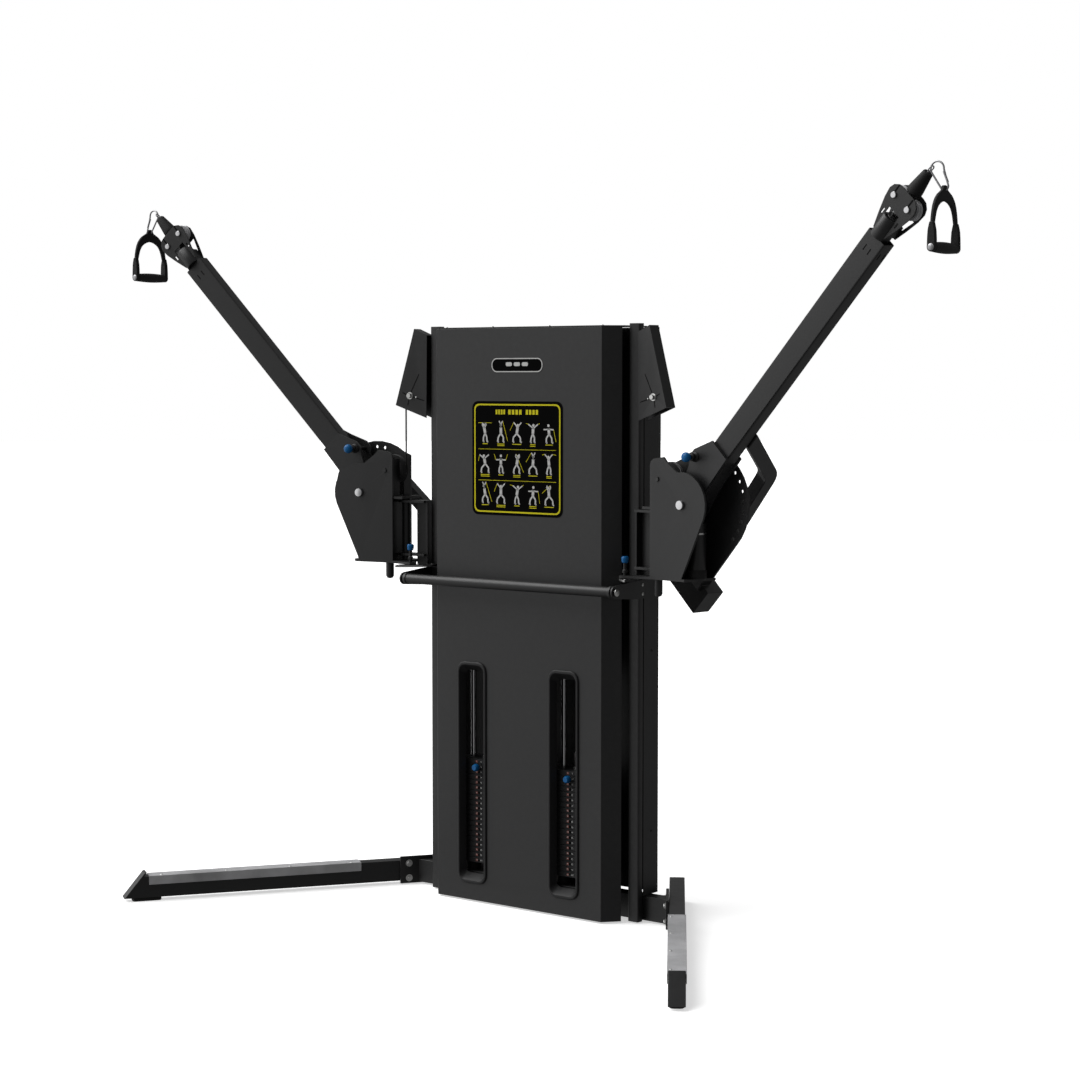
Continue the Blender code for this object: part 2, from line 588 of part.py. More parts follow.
def make_arm(name, side, frame, finish):
    width, height = 2 * TUBE_V, TUBE_P[1] - TUBE_P[0]
    centre = (0.0, sum(TUBE_P) / 2)
    outer = rounded(width, height, 0.006, 2, centre)
    inner = rounded(width - 2 * TUBE_WALL, height - 2 * TUBE_WALL, 0.003, 2, centre)
    tube = hollow(outer, inner, *TUBE_D, "yz")
    arm = solid(f"arm_{name}", tube, finish["frame"], frame, side)
    cheeks = [prism(cheek_outline(), lo, hi, "xz") for lo, hi in ((-CHEEK_V[1], -CHEEK_V[0]), CHEEK_V)]
    gaps = ((-0.0320, -0.0235), (0.0235, 0.0320))
    spacers = [box((0.204, lo, -0.0165), (0.220, hi, 0.0605)) for lo, hi in gaps]
    head = [(0, -0.0725), (0.0120, -0.0725), (0.0140, -0.0695), (0.0140, -PLATE_OUT - CLEAR)]
    axle = head + [(AXLE_R, -PLATE_OUT - CLEAR), (AXLE_R, -0.050), (0.026, -0.050), (0.026, 0.050)]
    axle += [(AXLE_R, 0.050), (AXLE_R, PLATE_OUT + CLEAR)] + [(r, -v) for r, v in head[::-1]]
    axle = [point for i, point in enumerate(axle) if i == 0 or point != axle[i - 1]]
    weld(arm, cheeks + spacers + [turned(axle, (0, 0), "xz", 16)], side)
    cut(arm, [cylinder(PIN_HOLE_R, -0.05, 0.05, pin_place(), "xz", 10)], side)
    make_pitch_pin(name, side, frame, finish)
    make_arm_handle(name, side, frame, finish)


def make_pitch_pin(name, side, frame, finish):
    face, tip = -CHEEK_V[1] - PIN_DRAWN, PLATE_IN - CLEAR
    knob = [(0, -0.092), (0.0110, -0.090), (0.0155, -0.080), (0.0135, -0.070), (0.0085, -0.064)]
    pin = knob + [(0.0120, -0.052), (0.0120, face), (PIN_R, face), (PIN_R, tip), (0, tip)]
    solid(f"pitch_pin_{name}", turned(pin, pin_place(), "xz", 14), finish["knob"], frame, side)


def handle_outline():
    """The lever seen along the arm's p axis, in d and v: out from the arm's rear face, then back."""
    root, corner, end = (Vector(point) for point in (HANDLE_ROOT, HANDLE_CORNER, HANDLE_END))
    first, second = (corner - root).normalized(), (end - corner).normalized()
    bend = 0.040
    start, stop = corner - first * bend, corner + second * bend
    curve = []
    for step in range(5):
        t = step / 4
        curve.append(tuple(start * (1 - t) ** 2 + corner * 2 * t * (1 - t) + stop * t ** 2))
    outer = [tuple(root)] + curve + [tuple(end)]
    inner = offset(outer, HANDLE_WIDTH)
    foot = (root.x - HANDLE_WIDTH / first.y, root.y)
    return outer + inner[:0:-1] + [foot]


def make_arm_handle(name, side, frame, finish):
    """A flat bar that leaves the arm's rear face, runs back beside it and carries the counterweight."""
    bar = solid(f"arm_handle_{name}", prism(handle_outline(), *HANDLE_P, "xy"), finish["frame"], frame, side)
    lows = (WEIGHT_D[0], WEIGHT_V[0], WEIGHT_P[0])
    highs = (WEIGHT_D[1], WEIGHT_V[1], WEIGHT_P[1])
    weld(bar, [box(lows, highs)], side)


# ---------------------------------------------------------------- head, cable end and stirrup
def head_outline():
    """One side plate of the pulley head, in e and q, alike above and below the swivel axis."""
    upper = [(0.014, 0.0285), (0.060, 0.0440), (0.105, 0.0570), (0.135, 0.0610), (0.152, 0.0545)]
    upper += [(0.1635, 0.0400), (0.1660, 0.0240)]
    return upper + [(e, -q) for e, q in upper[::-1]]


def make_head(name, side, frame, finish):
    """Two plates joined by the swivel barrel between them. The front one is open over the barrel, with two
    windows beyond it and a slit on each side; the rear one has one wide opening."""
    front = prism(head_outline(), -HEAD_PLATE_V[1], -HEAD_PLATE_V[0], "xz")
    head = solid(f"head_{name}", front, finish["frame"], frame, side)
    openings = [box((0.0165, -0.030, -0.0245), (0.0735, -0.020, 0.0245))]
    openings += [box((0.0730, -0.030, q), (0.0940, -0.020, q + 0.0225)) for q in (-0.0245, 0.0020)]
    openings += [box((0.0610, -0.030, q), (0.0790, -0.020, q + 0.0060)) for q in (-0.0375, 0.0315)]
    cut(head, openings, side)
    weld(head, [prism(head_outline(), *HEAD_PLATE_V, "xz")], side)
    wide = [(0.050, -0.030), (0.096, -0.046), (0.096, 0.046), (0.050, 0.030)]
    cut(head, [prism(wide, 0.020, 0.030, "xz")], side)
    gussets = [box((0.0180, -0.025, q), (0.0580, 0.025, q + 0.0070)) for q in (-0.0275, 0.0205)]
    ring = [(0.0105, 0.0006), (0.0270, 0.0006), (0.0270, 0.072), (0.0250, 0.074), (0.0105, 0.074)]
    heights = (-HEAD_PULLEY_Q, HEAD_PULLEY_Q)
    bolts = [cylinder(0.0060, -0.031, 0.031, (HEAD_PULLEY_E, q), "xz", 12) for q in heights]
    weld(head, gussets + [turned_ring(ring, (0, 0), "yz")] + bolts, side)
    bore = cylinder(0.0105, -0.01, 0.0745, (0, 0), "yz")
    cut(head, [bore], side)
    for label, q in (("upper", HEAD_PULLEY_Q), ("lower", -HEAD_PULLEY_Q)):
        place = (HEAD_PULLEY_E, q)
        pulley = f"head_pulley_{label}_{name}"
        make_pulley(pulley, HEAD_PULLEY_R, 0.0066, 0.008, place, frame, side, finish, 18)


def make_cable_end(name, side, frame, finish):
    """The cable inside the arm, its tapered rubber stop and the steel eye at the end."""
    profile = [(0, -0.880), (CABLE_R, -0.880), (CABLE_R, 0.1668), (0.0230, 0.1668), (0.0245, 0.172),
               (0.0235, 0.186), (0.0165, 0.236), (0.0140, 0.243), (0.0045, 0.2435), (0.0045, 0.2480),
               (0, 0.2480)]
    end = solid(f"cable_end_{name}", turned(profile, (0, 0), "yz", 16), finish["rubber"], frame, side)
    circle = arc(EYE_E, 0, EYE_R, 0, 324, 9)
    weld(end, [swept([(e, v, 0) for e, v in circle], 0.0022, 6, True)], side)


def carabiner_path():
    """A pear-shaped loop in w and z about the cable's eye, wide at the top, leaning to its narrow end."""
    top = arc(*LOOP_TOP, LOOP_TOP_R, 205, -5, 7)
    return top + arc(*LOOP_LOW, LOOP_LOW_R, -5, -155, 5)


def yoke_outlines():
    """Outer and inner edge of the stirrup's flat arch in b and z, down from its top, alike left and right."""
    outer = [(0.0, 0.000), (0.010, -0.002), (0.014, -0.018), (0.034, -0.030), (0.054, -0.050)]
    outer += [(0.067, -0.080), (0.073, -0.110), (0.0745, -0.130)]
    inner = [(0.0, -0.046), (0.012, -0.0475), (0.024, -0.0515), (0.038, -0.060), (0.050, -0.076)]
    inner += [(0.058, -0.100), (0.0625, -0.118), (0.0625, -0.130)]
    return outer, inner


def make_stirrup(name, side, frame, finish):
    """The carabiner in the cable's eye and the stirrup that hangs from it. The frame is at the eye, turned
    about the vertical, with w across the stirrup's width."""
    path = [(w, 0.0, z) for w, z in carabiner_path()]
    solid(f"carabiner_{name}", swept(path, WIRE_R, 8, True), finish["steel"], frame, side)
    w, half = LOOP_LOW[0], 0.005
    outer, inner = yoke_outlines()
    top = LOOP_LOW[1] - LOOP_LOW_R + 0.0145
    right = [(b, top + z) for b, z in outer + inner[::-1]]
    left = [(-b, z) for b, z in right]
    body = solid(f"stirrup_{name}", prism(right, w - half, w + half, "yz"), finish["rubber"], frame, side)
    legs = []
    axis = top - 0.178
    for hand in (-1, 1):
        ends = sorted((hand * 0.0635, hand * 0.0755))
        leg = arc(w, axis, 0.0135, 180, 360, 6) + [(w + 0.0115, top - 0.130), (w + 0.006, top - 0.108)]
        legs.append(prism(leg + [(w - 0.006, top - 0.108), (w - 0.0115, top - 0.130)], *ends, "xz"))
    grip = [(0, -0.064), (0.0140, -0.064), (0.0160, -0.035), (0.0168, 0.0)]
    grip += [(r, -b) for r, b in grip[-2::-1]]
    knuckle = box((w - half, -0.004, top - 0.044), (w + half, 0.004, top - 0.0305))
    second = prism(left, w - half, w + half, "yz")
    weld(body, [second, knuckle, turned(grip, (w, axis), "xz", 14)] + legs, side)
    cut(body, [cylinder(0.0075, w - 0.02, w + 0.02, (0.0, top - 0.0170), "yz", 12)], side)


# ---------------------------------------------------------------- the whole machine
def make_machine():
    clear_scene()
    finish = make_materials()
    tower = empty("tower", (0, FRONT_Y, 0))
    make_covers(tower, finish)
    make_base(tower, finish)
    make_grip(tower, finish)
    for name, side in SIDES:
        make_bezel(f"window_bezel_{name}", side, tower, finish)
        make_column(f"column_{name}", side, tower, finish)
        make_leg(name, side, tower, finish)
        make_stack(name, side, tower, finish)
        make_guides(name, side, tower, finish)
        yaw = empty(f"yaw_axis_{name}", (side * YAW_X, YAW_Y, 0), (0, 0, -side * ARM_YAW), tower)
        make_wing(name, side, yaw, finish)
        make_pulley(f"wing_pulley_{name}", WING_PULLEY_R, 0.0066, 0.006, WING_PULLEY, yaw, side, finish)
        make_yaw_bracket(name, side, yaw, finish)
        make_cable_drop(name, side, yaw, finish)
        make_carriage(name, side, yaw, finish)
        along, up = TUBE_D[1] + EYE_E, HEAD_P
        u = PITCH_U + along * math.cos(ARM_PITCH) - up * math.sin(ARM_PITCH)
        z = PITCH_Z + along * math.sin(ARM_PITCH) + up * math.cos(ARM_PITCH)
        eye = empty(f"eye_{name}", (side * u, 0, z), (0, 0, side * HANG_TURN), yaw)
        make_stirrup(name, side, eye, finish)
        pitch = empty(f"pitch_axis_{name}", (side * PITCH_U, 0, PITCH_Z), (0, -side * ARM_PITCH, 0), yaw)
        make_arm(name, side, pitch, finish)
        swivel = empty(f"swivel_axis_{name}", (side * TUBE_D[1], 0, HEAD_P), (0, 0, 0), pitch)
        make_head(name, side, swivel, finish)
        make_cable_end(name, side, swivel, finish)
    bpy.context.view_layer.update()


make_machine()
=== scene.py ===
"""Looks of the dual cable crossover machine: camera, light, floor, and a finished piece for every CAD node.

Everything is in metres in the row frame, as the CAD is. Plates, tubes and covers are the CAD's own shapes
with rolled edges. Round parts, cables, knobs, handles, weight plates and graphics are built here. Side parts
are written once, for the right side, and mirrored: side is +1 on the right and -1 on the left. The head's
barrel sleeve, the stirrup and the eye differ a little from the CAD's."""
import json
import math

import bmesh
import bpy
from mathutils import Matrix, Vector


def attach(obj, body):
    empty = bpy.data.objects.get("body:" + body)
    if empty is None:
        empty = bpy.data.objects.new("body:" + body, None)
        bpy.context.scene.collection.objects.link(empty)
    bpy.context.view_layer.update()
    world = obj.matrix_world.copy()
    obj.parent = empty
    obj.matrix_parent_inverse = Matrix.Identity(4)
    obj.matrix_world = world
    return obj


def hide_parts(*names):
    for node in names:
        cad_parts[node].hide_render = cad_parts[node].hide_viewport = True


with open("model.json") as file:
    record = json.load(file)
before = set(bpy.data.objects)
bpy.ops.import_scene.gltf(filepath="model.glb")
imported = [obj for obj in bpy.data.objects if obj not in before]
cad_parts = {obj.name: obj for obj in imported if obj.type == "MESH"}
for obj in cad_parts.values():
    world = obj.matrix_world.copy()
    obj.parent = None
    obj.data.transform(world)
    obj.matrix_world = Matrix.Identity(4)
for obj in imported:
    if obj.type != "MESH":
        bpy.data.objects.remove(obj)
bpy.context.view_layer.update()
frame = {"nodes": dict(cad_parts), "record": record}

# ---------------------------------------------------------------- dimensions, as in the CAD
FRONT_Y = 0.1357
YAW_X, YAW_Y, ARM_YAW = 0.540, 0.058, math.radians(9.2)
PITCH_U, PITCH_Z, ARM_PITCH = 0.154, 1.395, math.radians(46.4)
ARM_END, HEAD_P = 1.100, 0.022
EYE_E = 0.2600
HANG_TURN = math.radians(9)
LEG_TIP, LEG_ANGLE, LEG_WIDTH = (1.131, -0.743), math.radians(34.4), 0.052
STACK_X, PLATE_HALF, PLATE_Y = 0.196, 0.100, (0.036, 0.132)
PLATE_PITCH, STACK_BOTTOM, PLATES, PLATES_LIFTED = 0.018, 0.130, 20, 2
ROD_R, ROD_SPREAD = 0.010, 0.062
BAR_R, BAR_Y, BAR_Z, BAR_HALF = 0.017, -0.062, 1.107, 0.4405
WING_PULLEY, CARRIAGE_PULLEY = (-0.0213, 1.734), (0.050, 1.474)
YAW_PIN, PIN_ANGLE, PIN_CIRCLE = (-0.070, -0.087), math.radians(30.2), 0.157
LOOP_TOP, LOOP_TOP_R = (0.0180, -0.0035), 0.0210
LOOP_LOW, LOOP_LOW_R = (0.0415, -0.0535), 0.0125
HEAD_PULLEY_E, HEAD_PULLEY_Q = 0.129, 0.0335
DAMPER = (0.167, 0.0)
CABLE_R = 0.0028
PRINT_DEPTH = 0.0003      # how far printed lines stand off the sheet
STIRRUP_HALF = 0.0780     # half the width over the stirrup's legs
SIDES = (("left", -1), ("right", 1))


# ---------------------------------------------------------------- materials
def link(tree, a, b):
    tree.links.new(a, b)


def noise(tree, scale, detail=4.0, rough=0.55, stretch=None):
    node = tree.nodes.new("ShaderNodeTexNoise")
    node.inputs["Scale"].default_value = scale
    node.inputs["Detail"].default_value = detail
    node.inputs["Roughness"].default_value = rough
    coord = tree.nodes.new("ShaderNodeTexCoord")
    if stretch:
        mapping = tree.nodes.new("ShaderNodeMapping")
        mapping.inputs["Scale"].default_value = stretch
        link(tree, coord.outputs["Object"], mapping.inputs["Vector"])
        link(tree, mapping.outputs["Vector"], node.inputs["Vector"])
    else:
        link(tree, coord.outputs["Object"], node.inputs["Vector"])
    return node


def ramp(tree, value, stops):
    node = tree.nodes.new("ShaderNodeValToRGB")
    while len(node.color_ramp.elements) < len(stops):
        node.color_ramp.elements.new(0.5)
    for element, (place, colour) in zip(node.color_ramp.elements, stops):
        element.position = place
        element.color = (*colour, 1.0)
    link(tree, value, node.inputs["Fac"])
    return node


def finish(name, colour, roughness, metallic=0.0, grain=900.0, depth=0.0002, bump=0.25, mottle=0.12,
           spread=0.08, edge_wear_and_highlight=0.0, coat=0.0, specular=0.5, stretch=None):
    """Fine grain in relief, a slow colour mottle, uneven gloss, and lighter edges, part rubbing, part painted
    highlight.
    """
    made = bpy.data.materials.new(name)
    made.use_nodes = True
    tree = made.node_tree
    shader = tree.nodes["Principled BSDF"]
    shader.inputs["Metallic"].default_value = metallic
    shader.inputs["Specular IOR Level"].default_value = specular
    if coat:
        shader.inputs["Coat Weight"].default_value = coat
        shader.inputs["Coat Roughness"].default_value = 0.15
    slow = noise(tree, 7.0, 5.0)
    dark = tuple(c * (1 - mottle) for c in colour)
    light = tuple(min(1.0, c * (1 + mottle)) for c in colour)
    tint = ramp(tree, slow.outputs["Fac"], ((0.30, dark), (0.70, light)))
    colour_out = tint.outputs["Color"]
    # Convex edges lightened through Pointiness and noise: partly rubbed paint, partly a painted edge
    # highlight.
    if edge_wear_and_highlight:
        geometry = tree.nodes.new("ShaderNodeNewGeometry")
        edge = ramp(tree, geometry.outputs["Pointiness"], ((0.52, (0, 0, 0)), (0.60, (1, 1, 1))))
        broken = noise(tree, 60.0, 6.0)
        edge_wear_and_highlight_mask = tree.nodes.new("ShaderNodeMath")
        edge_wear_and_highlight_mask.operation = "MULTIPLY"
        link(tree, edge.outputs["Color"], edge_wear_and_highlight_mask.inputs[0])
        link(tree, broken.outputs["Fac"], edge_wear_and_highlight_mask.inputs[1])
        mix = tree.nodes.new("ShaderNodeMix")
        mix.data_type = "RGBA"
        worn_and_highlight_colour = tuple(min(1.0, c * 2.2 + edge_wear_and_highlight) for c in colour)
        mix.inputs["B"].default_value = (*worn_and_highlight_colour, 1.0)
        link(tree, edge_wear_and_highlight_mask.outputs[0], mix.inputs["Factor"])
        link(tree, colour_out, mix.inputs["A"])
        colour_out = mix.outputs["Result"]
    link(tree, colour_out, shader.inputs["Base Color"])
    patch = noise(tree, 22.0, 6.0, 0.6, stretch)
    gloss = tree.nodes.new("ShaderNodeMapRange")
    gloss.inputs["To Min"].default_value = max(0.03, roughness - spread)
    gloss.inputs["To Max"].default_value = min(1.0, roughness + spread)
    link(tree, patch.outputs["Fac"], gloss.inputs["Value"])
    link(tree, gloss.outputs["Result"], shader.inputs["Roughness"])
    fine = noise(tree, grain, 2.0, 0.5, stretch)
    relief = tree.nodes.new("ShaderNodeBump")
    relief.inputs["Strength"].default_value = bump
    relief.inputs["Distance"].default_value = depth
    link(tree, fine.outputs["Fac"], relief.inputs["Height"])
    link(tree, relief.outputs["Normal"], shader.inputs["Normal"])
    return made


COVER = finish("cover_powder_coat", (0.0085, 0.0085, 0.0088), 0.46, 0.0, 1100, 0.00012, 0.30, 0.05,
               0.05, 0.008, 0, 0.42)
FRAME = finish("frame_powder_coat", (0.0080, 0.0080, 0.0083), 0.42, 0.0, 900, 0.00015, 0.35, 0.07,
               0.06, 0.012, 0, 0.42)
TRIM = finish("moulded_trim", (0.011, 0.011, 0.0115), 0.50, 0.0, 1500, 0.0001, 0.4, 0.08, 0.05, 0, 0, 0.30)
RUBBER = finish("black_rubber", (0.007, 0.007, 0.007), 0.68, 0.0, 700, 0.0003, 0.5, 0.2, 0.08, 0, 0, 0.30)
GRIP = finish("grip_rubber", (0.008, 0.008, 0.008), 0.62, 0.0, 1400, 0.0003, 0.6, 0.2, 0.06, 0, 0, 0.35)
CHROME = finish("polished_steel", (0.62, 0.62, 0.63), 0.16, 1.0, 300, 0.00003, 0.2, 0.05, 0.05)
ZINC = finish("zinc_plated_steel", (0.58, 0.58, 0.57), 0.30, 1.0, 500, 0.00008, 0.3, 0.10, 0.08)
WIRE = finish("dull_steel", (0.34, 0.34, 0.35), 0.36, 1.0, 500, 0.00006, 0.3, 0.10, 0.08)
IRON = finish("painted_iron", (0.0062, 0.0062, 0.0067), 0.60, 0.0, 500, 0.0003, 0.5, 0.15, 0.08, 0.01, 0, 0.3)
BLUE = finish("blue_plastic", (0.0, 0.090, 0.26), 0.38, 0.0, 1200, 0.00005, 0.2, 0.08, 0.05, 0, 0, 0.25)
TREAD = finish("grit_coated_steel", (0.46, 0.46, 0.47), 0.55, 0.5, 1300, 0.0006, 1.0, 0.25, 0.15)
NYLON = finish("grey_nylon", (0.42, 0.42, 0.43), 0.45, 0.0, 900, 0.0001, 0.25, 0.06, 0.06)
YELLOW = finish("yellow_print", (0.56, 0.50, 0.0), 0.50, 0.0, 900, 0.00003, 0.1, 0.05, 0.05, 0, 0, 0.2)
WHITE = finish("white_print", (0.52, 0.52, 0.51), 0.50, 0.0, 900, 0.00003, 0.1, 0.05, 0.05, 0, 0, 0.2)
RED = finish("red_print", (0.17, 0.035, 0.022), 0.50, 0.0, 900, 0.00003, 0.1, 0.10, 0.05)
PRINT = finish("placard_black", (0.0010, 0.0010, 0.0010), 0.55, 0.0, 900, 0.00003, 0.1, 0.05, 0.05, 0, 0,
               0.02)
DARK = finish("shadowed_slot", (0.002, 0.002, 0.002), 0.85, 0.0, 300, 0.0001, 0.2, 0.1, 0.05, 0, 0, 0.1)


# ---------------------------------------------------------------- shapes
def in_plane(plane, a, b, c):
    return Vector({"xy": (a, b, c), "xz": (a, c, b), "yz": (c, a, b)}[plane])


def arc(cx, cy, radius, start, end, steps):
    angles = [math.radians(start + (end - start) * i / steps) for i in range(steps + 1)]
    return [(cx + radius * math.cos(a), cy + radius * math.sin(a)) for a in angles]


def rounded(width, height, radius, steps=6, centre=(0.0, 0.0)):
    points = []
    for sx, sy, start in ((1, 1, 0), (-1, 1, 90), (-1, -1, 180), (1, -1, 270)):
        cx = centre[0] + sx * (width / 2 - radius)
        cy = centre[1] + sy * (height / 2 - radius)
        points += arc(cx, cy, radius, start, start + 90, steps)
    return points


def join(bm, loops, closed):
    made = [[bm.verts.new(point) for point in loop] for loop in loops]
    pairs = list(zip(made, made[1:])) + ([(made[-1], made[0])] if closed else [])
    for first, second in pairs:
        for i in range(len(first)):
            j = (i + 1) % len(first)
            bm.faces.new((first[i], first[j], second[j], second[i]))
    if not closed:
        bm.faces.new(made[0][::-1])
        bm.faces.new(made[-1])
    return bm


def prism(outline, lo, hi, plane):
    return join(bmesh.new(), [[in_plane(plane, a, b, c) for a, b in outline] for c in (lo, hi)], False)


def box(lo, hi):
    return prism([(lo[0], lo[1]), (hi[0], lo[1]), (hi[0], hi[1]), (lo[0], hi[1])], lo[2], hi[2], "xy")


def lathe(profile, centre, plane, segments=40):
    """A solid of revolution; profile is (radius, place along the axis), and a zero radius becomes tiny."""
    loops = []
    for radius, along in profile:
        turn = arc(*centre, max(radius, 1e-5), 0, 360 * (segments - 1) / segments, segments - 1)
        loops.append([in_plane(plane, a, b, along) for a, b in turn])
    return join(bmesh.new(), loops, False)


def washer(profile, centre, plane, segments=48):
    """As lathe, for a closed profile that stays off the axis."""
    loops = []
    for radius, along in profile:
        turn = arc(*centre, radius, 0, 360 * (segments - 1) / segments, segments - 1)
        loops.append([in_plane(plane, a, b, along) for a, b in turn])
    return join(bmesh.new(), loops, True)


def swept(path, radius, sides=16, closed=False):
    points = [Vector(p) for p in path]
    count = len(points)
    across = Vector((0, 1, 0)) if abs((points[1] - points[0]).normalized().y) < 0.7 else Vector((1, 0, 0))
    loops = []
    for i, here in enumerate(points):
        after = points[(i + 1) % count] if closed or i + 1 < count else here
        before = points[i - 1] if closed or i else here
        along = (after - before).normalized()
        side = (across - along * across.dot(along)).normalized()
        across = side
        up = along.cross(side)
        turn = [2 * math.pi * k / sides for k in range(sides)]
        loops.append([here + (side * math.cos(a) + up * math.sin(a)) * radius for a in turn])
    return join(bmesh.new(), loops, closed)


def bolt(centre, plane, face, out, radius=0.009, height=0.005, hexagon=True, ring=True):
    """A screw head on a washer: face is where it sits, and out (+1 or -1) the way it points."""
    shapes = []
    if ring:
        r = radius * 1.45
        shapes.append(lathe([(0, face), (r, face), (r, face + out * 0.0012), (0, face + out * 0.0012)],
                            centre,
                            plane, 28))
        face += out * 0.0012
    profile = [(0, face), (radius, face), (radius, face + out * height * 0.8),
               (radius * 0.9, face + out * height), (0, face + out * height)]
    shapes.append(lathe(profile, centre, plane, 6 if hexagon else 28))
    return shapes


def button(centre, plane, face, out, radius=0.009, height=0.0045):
    """A domed socket screw with its six-sided recess."""
    dome = [(0, face), (radius, face), (radius, face + out * height * 0.25)]
    dome += [(radius * math.cos(a), face + out * height * (0.25 + 0.75 * math.sin(a))) for a in (0.35, 0.7,
                                                                                                 1.05)]
    dome += [(radius * 0.45, face + out * height)]
    inner = [(radius * 0.42, face + out * height * 0.98), (radius * 0.40, face + out * height * 0.45),
             (0, face + out * height * 0.45)]
    return [lathe(dome + inner, centre, plane, 24)]


# ---------------------------------------------------------------- frames and pieces
def tower_frame(side):
    return Matrix.Translation((0, FRONT_Y, 0))


def yaw_frame(side):
    turn = Matrix.Rotation(-side * ARM_YAW, 4, "Z")
    return tower_frame(side) @ Matrix.Translation((side * YAW_X, YAW_Y, 0)) @ turn


def pitch_frame(side):
    turn = Matrix.Rotation(-side * ARM_PITCH, 4, "Y")
    return yaw_frame(side) @ Matrix.Translation((side * PITCH_U, 0, PITCH_Z)) @ turn


def head_frame(side):
    return pitch_frame(side) @ Matrix.Translation((side * ARM_END, 0, HEAD_P))


def eye_frame(side):
    along, up = ARM_END + EYE_E, HEAD_P
    u = PITCH_U + along * math.cos(ARM_PITCH) - up * math.sin(ARM_PITCH)
    z = PITCH_Z + along * math.sin(ARM_PITCH) + up * math.cos(ARM_PITCH)
    turn = Matrix.Rotation(side * HANG_TURN, 4, "Z")
    return yaw_frame(side) @ Matrix.Translation((side * u, 0, z)) @ turn


def leg_frame(side):
    turn = Matrix.Rotation(side * LEG_ANGLE, 4, "Z")
    return tower_frame(side) @ Matrix.Translation((side * LEG_TIP[0], LEG_TIP[1], 0)) @ turn


def stand(name, bm, material, body, nodes=(), bevel=0.0, segments=2, sharp=35):
    """Makes the object from a mesh that is already in the row frame."""
    mesh = bpy.data.meshes.new(name)
    bm.to_mesh(mesh)
    bm.free()
    mesh.shade_smooth()
    mesh.set_sharp_from_angle(angle=math.radians(sharp))
    mesh.materials.append(material)
    obj = bpy.data.objects.new(name, mesh)
    bpy.context.scene.collection.objects.link(obj)
    if bevel:
        roll = obj.modifiers.new("rolled_edges", "BEVEL")
        roll.width = bevel
        roll.segments = segments
        roll.limit_method = "ANGLE"
        roll.angle_limit = math.radians(35)
        roll.use_clamp_overlap = True
        flat = obj.modifiers.new("flat_faces", "WEIGHTED_NORMAL")
        flat.keep_sharp = False
    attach(obj, body)
    if nodes:
        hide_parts(*nodes)
    return obj


def piece(name, shapes, material, body, place=tower_frame, side=1, nodes=(), bevel=0.0, segments=2, sharp=35):
    """Shapes in a local frame, mirrored for the left side, as one object."""
    whole = bmesh.new()
    for bm in shapes:
        bmesh.ops.recalc_face_normals(bm, faces=bm.faces)
        held = bpy.data.meshes.new("held")
        bm.to_mesh(held)
        bm.free()
        whole.from_mesh(held)
        bpy.data.meshes.remove(held)
    bmesh.ops.transform(whole, matrix=place(side) @ Matrix.Diagonal((side, 1, 1, 1)), verts=whole.verts)
    if side < 0:
        bmesh.ops.reverse_faces(whole, faces=whole.faces)
    return stand(name, whole, material, body, nodes, bevel, segments, sharp)


def rolled(node, material, bevel=0.001, segments=2):
    """A CAD node's own shape with its flat faces made whole and its edges rolled."""
    bm = bmesh.new()
    bm.from_mesh(frame["nodes"][node].data)
    bmesh.ops.remove_doubles(bm, verts=bm.verts, dist=4e-6)
    bmesh.ops.dissolve_limit(bm, angle_limit=math.radians(0.5), verts=bm.verts, edges=bm.edges)
    body = next(b for b, members in frame["record"]["behaviour"]["bodies"].items() if node in members)
    return stand(f"{node}_finished", bm, material, body, (node,), bevel, segments)


# ---------------------------------------------------------------- tower
def make_tower():
    for node in ("front_cover_upper", "front_cover_lower", "rear_cover"):
        rolled(node, COVER, 0.0009)
    rolled("top_plate", FRAME, 0.0008)
    rolled("base_frame", FRAME, 0.0012)
    for name, side in SIDES:
        rolled(f"window_bezel_{name}", TRIM, 0.0012, 3)
        rolled(f"column_{name}", FRAME, 0.0008)
        rolled(f"grip_bracket_{name}", FRAME, 0.0010)
        screws = button((BAR_Y, BAR_Z), "yz", 0.4570, 1, 0.0125, 0.0045)
        for z in (1.092, 1.122):
            screws += button((0.090, z), "yz", 0.4515, 1, 0.0055, 0.003)
        piece(f"bracket_screws_{name}", screws, ZINC, "frame", side=side)
        tops = []
        for x, y in ((0.330, 0.030), (0.330, 0.150), (0.120, 0.020), (0.120, 0.160)):
            tops += button((x, y), "xy", 1.9665, 1, 0.0055, 0.0028)
        piece(f"top_screws_{name}", tops, ZINC, "frame", side=side)
        slots = [prism(rounded(0.060, 0.008, 0.0038, 5, (x, y)), 1.9664, 1.9668, "xy")
                 for x in (0.075, 0.215) for y in (0.070, 0.100, 0.130)]
        piece(f"top_slots_{name}", slots, DARK, "frame", side=side)
        seams = []
        for z in (0.30, 0.90, 1.50, 1.88):
            seams += button((0.152, z), "yz", 0.4445, 1, 0.0050, 0.0026)
        piece(f"rear_cover_screws_{name}", seams, FRAME, "frame", side=side)
    ends = [(0, -BAR_HALF), (0.0185, -BAR_HALF), (0.0200, -BAR_HALF + 0.0015), (0.0200, -BAR_HALF + 0.0105),
            (0.0185, -BAR_HALF + 0.012), (BAR_R, -BAR_HALF + 0.0125)]
    bar = lathe(ends + [(r, -x) for r, x in ends[::-1]], (BAR_Y, BAR_Z), "yz", 48)
    piece("grip_bar_finished", [bar], FRAME, "frame", nodes=("grip_bar",))


def stroke(points, width, front):
    """A printed line of constant width through points of the cover's face, in x and z."""
    shapes = []
    for (ax, az), (bx, bz) in zip(points, points[1:]):
        along = Vector((bx - ax, bz - az))
        if along.length < 1e-6:
            continue
        n = Vector((-along.y, along.x)).normalized() * width / 2
        corners = [(ax + n.x, az + n.y), (ax - n.x, az - n.y), (bx - n.x, bz - n.y), (bx + n.x, bz + n.y)]
        shapes.append(prism(corners, front - PRINT_DEPTH, front, "xz"))
    return shapes


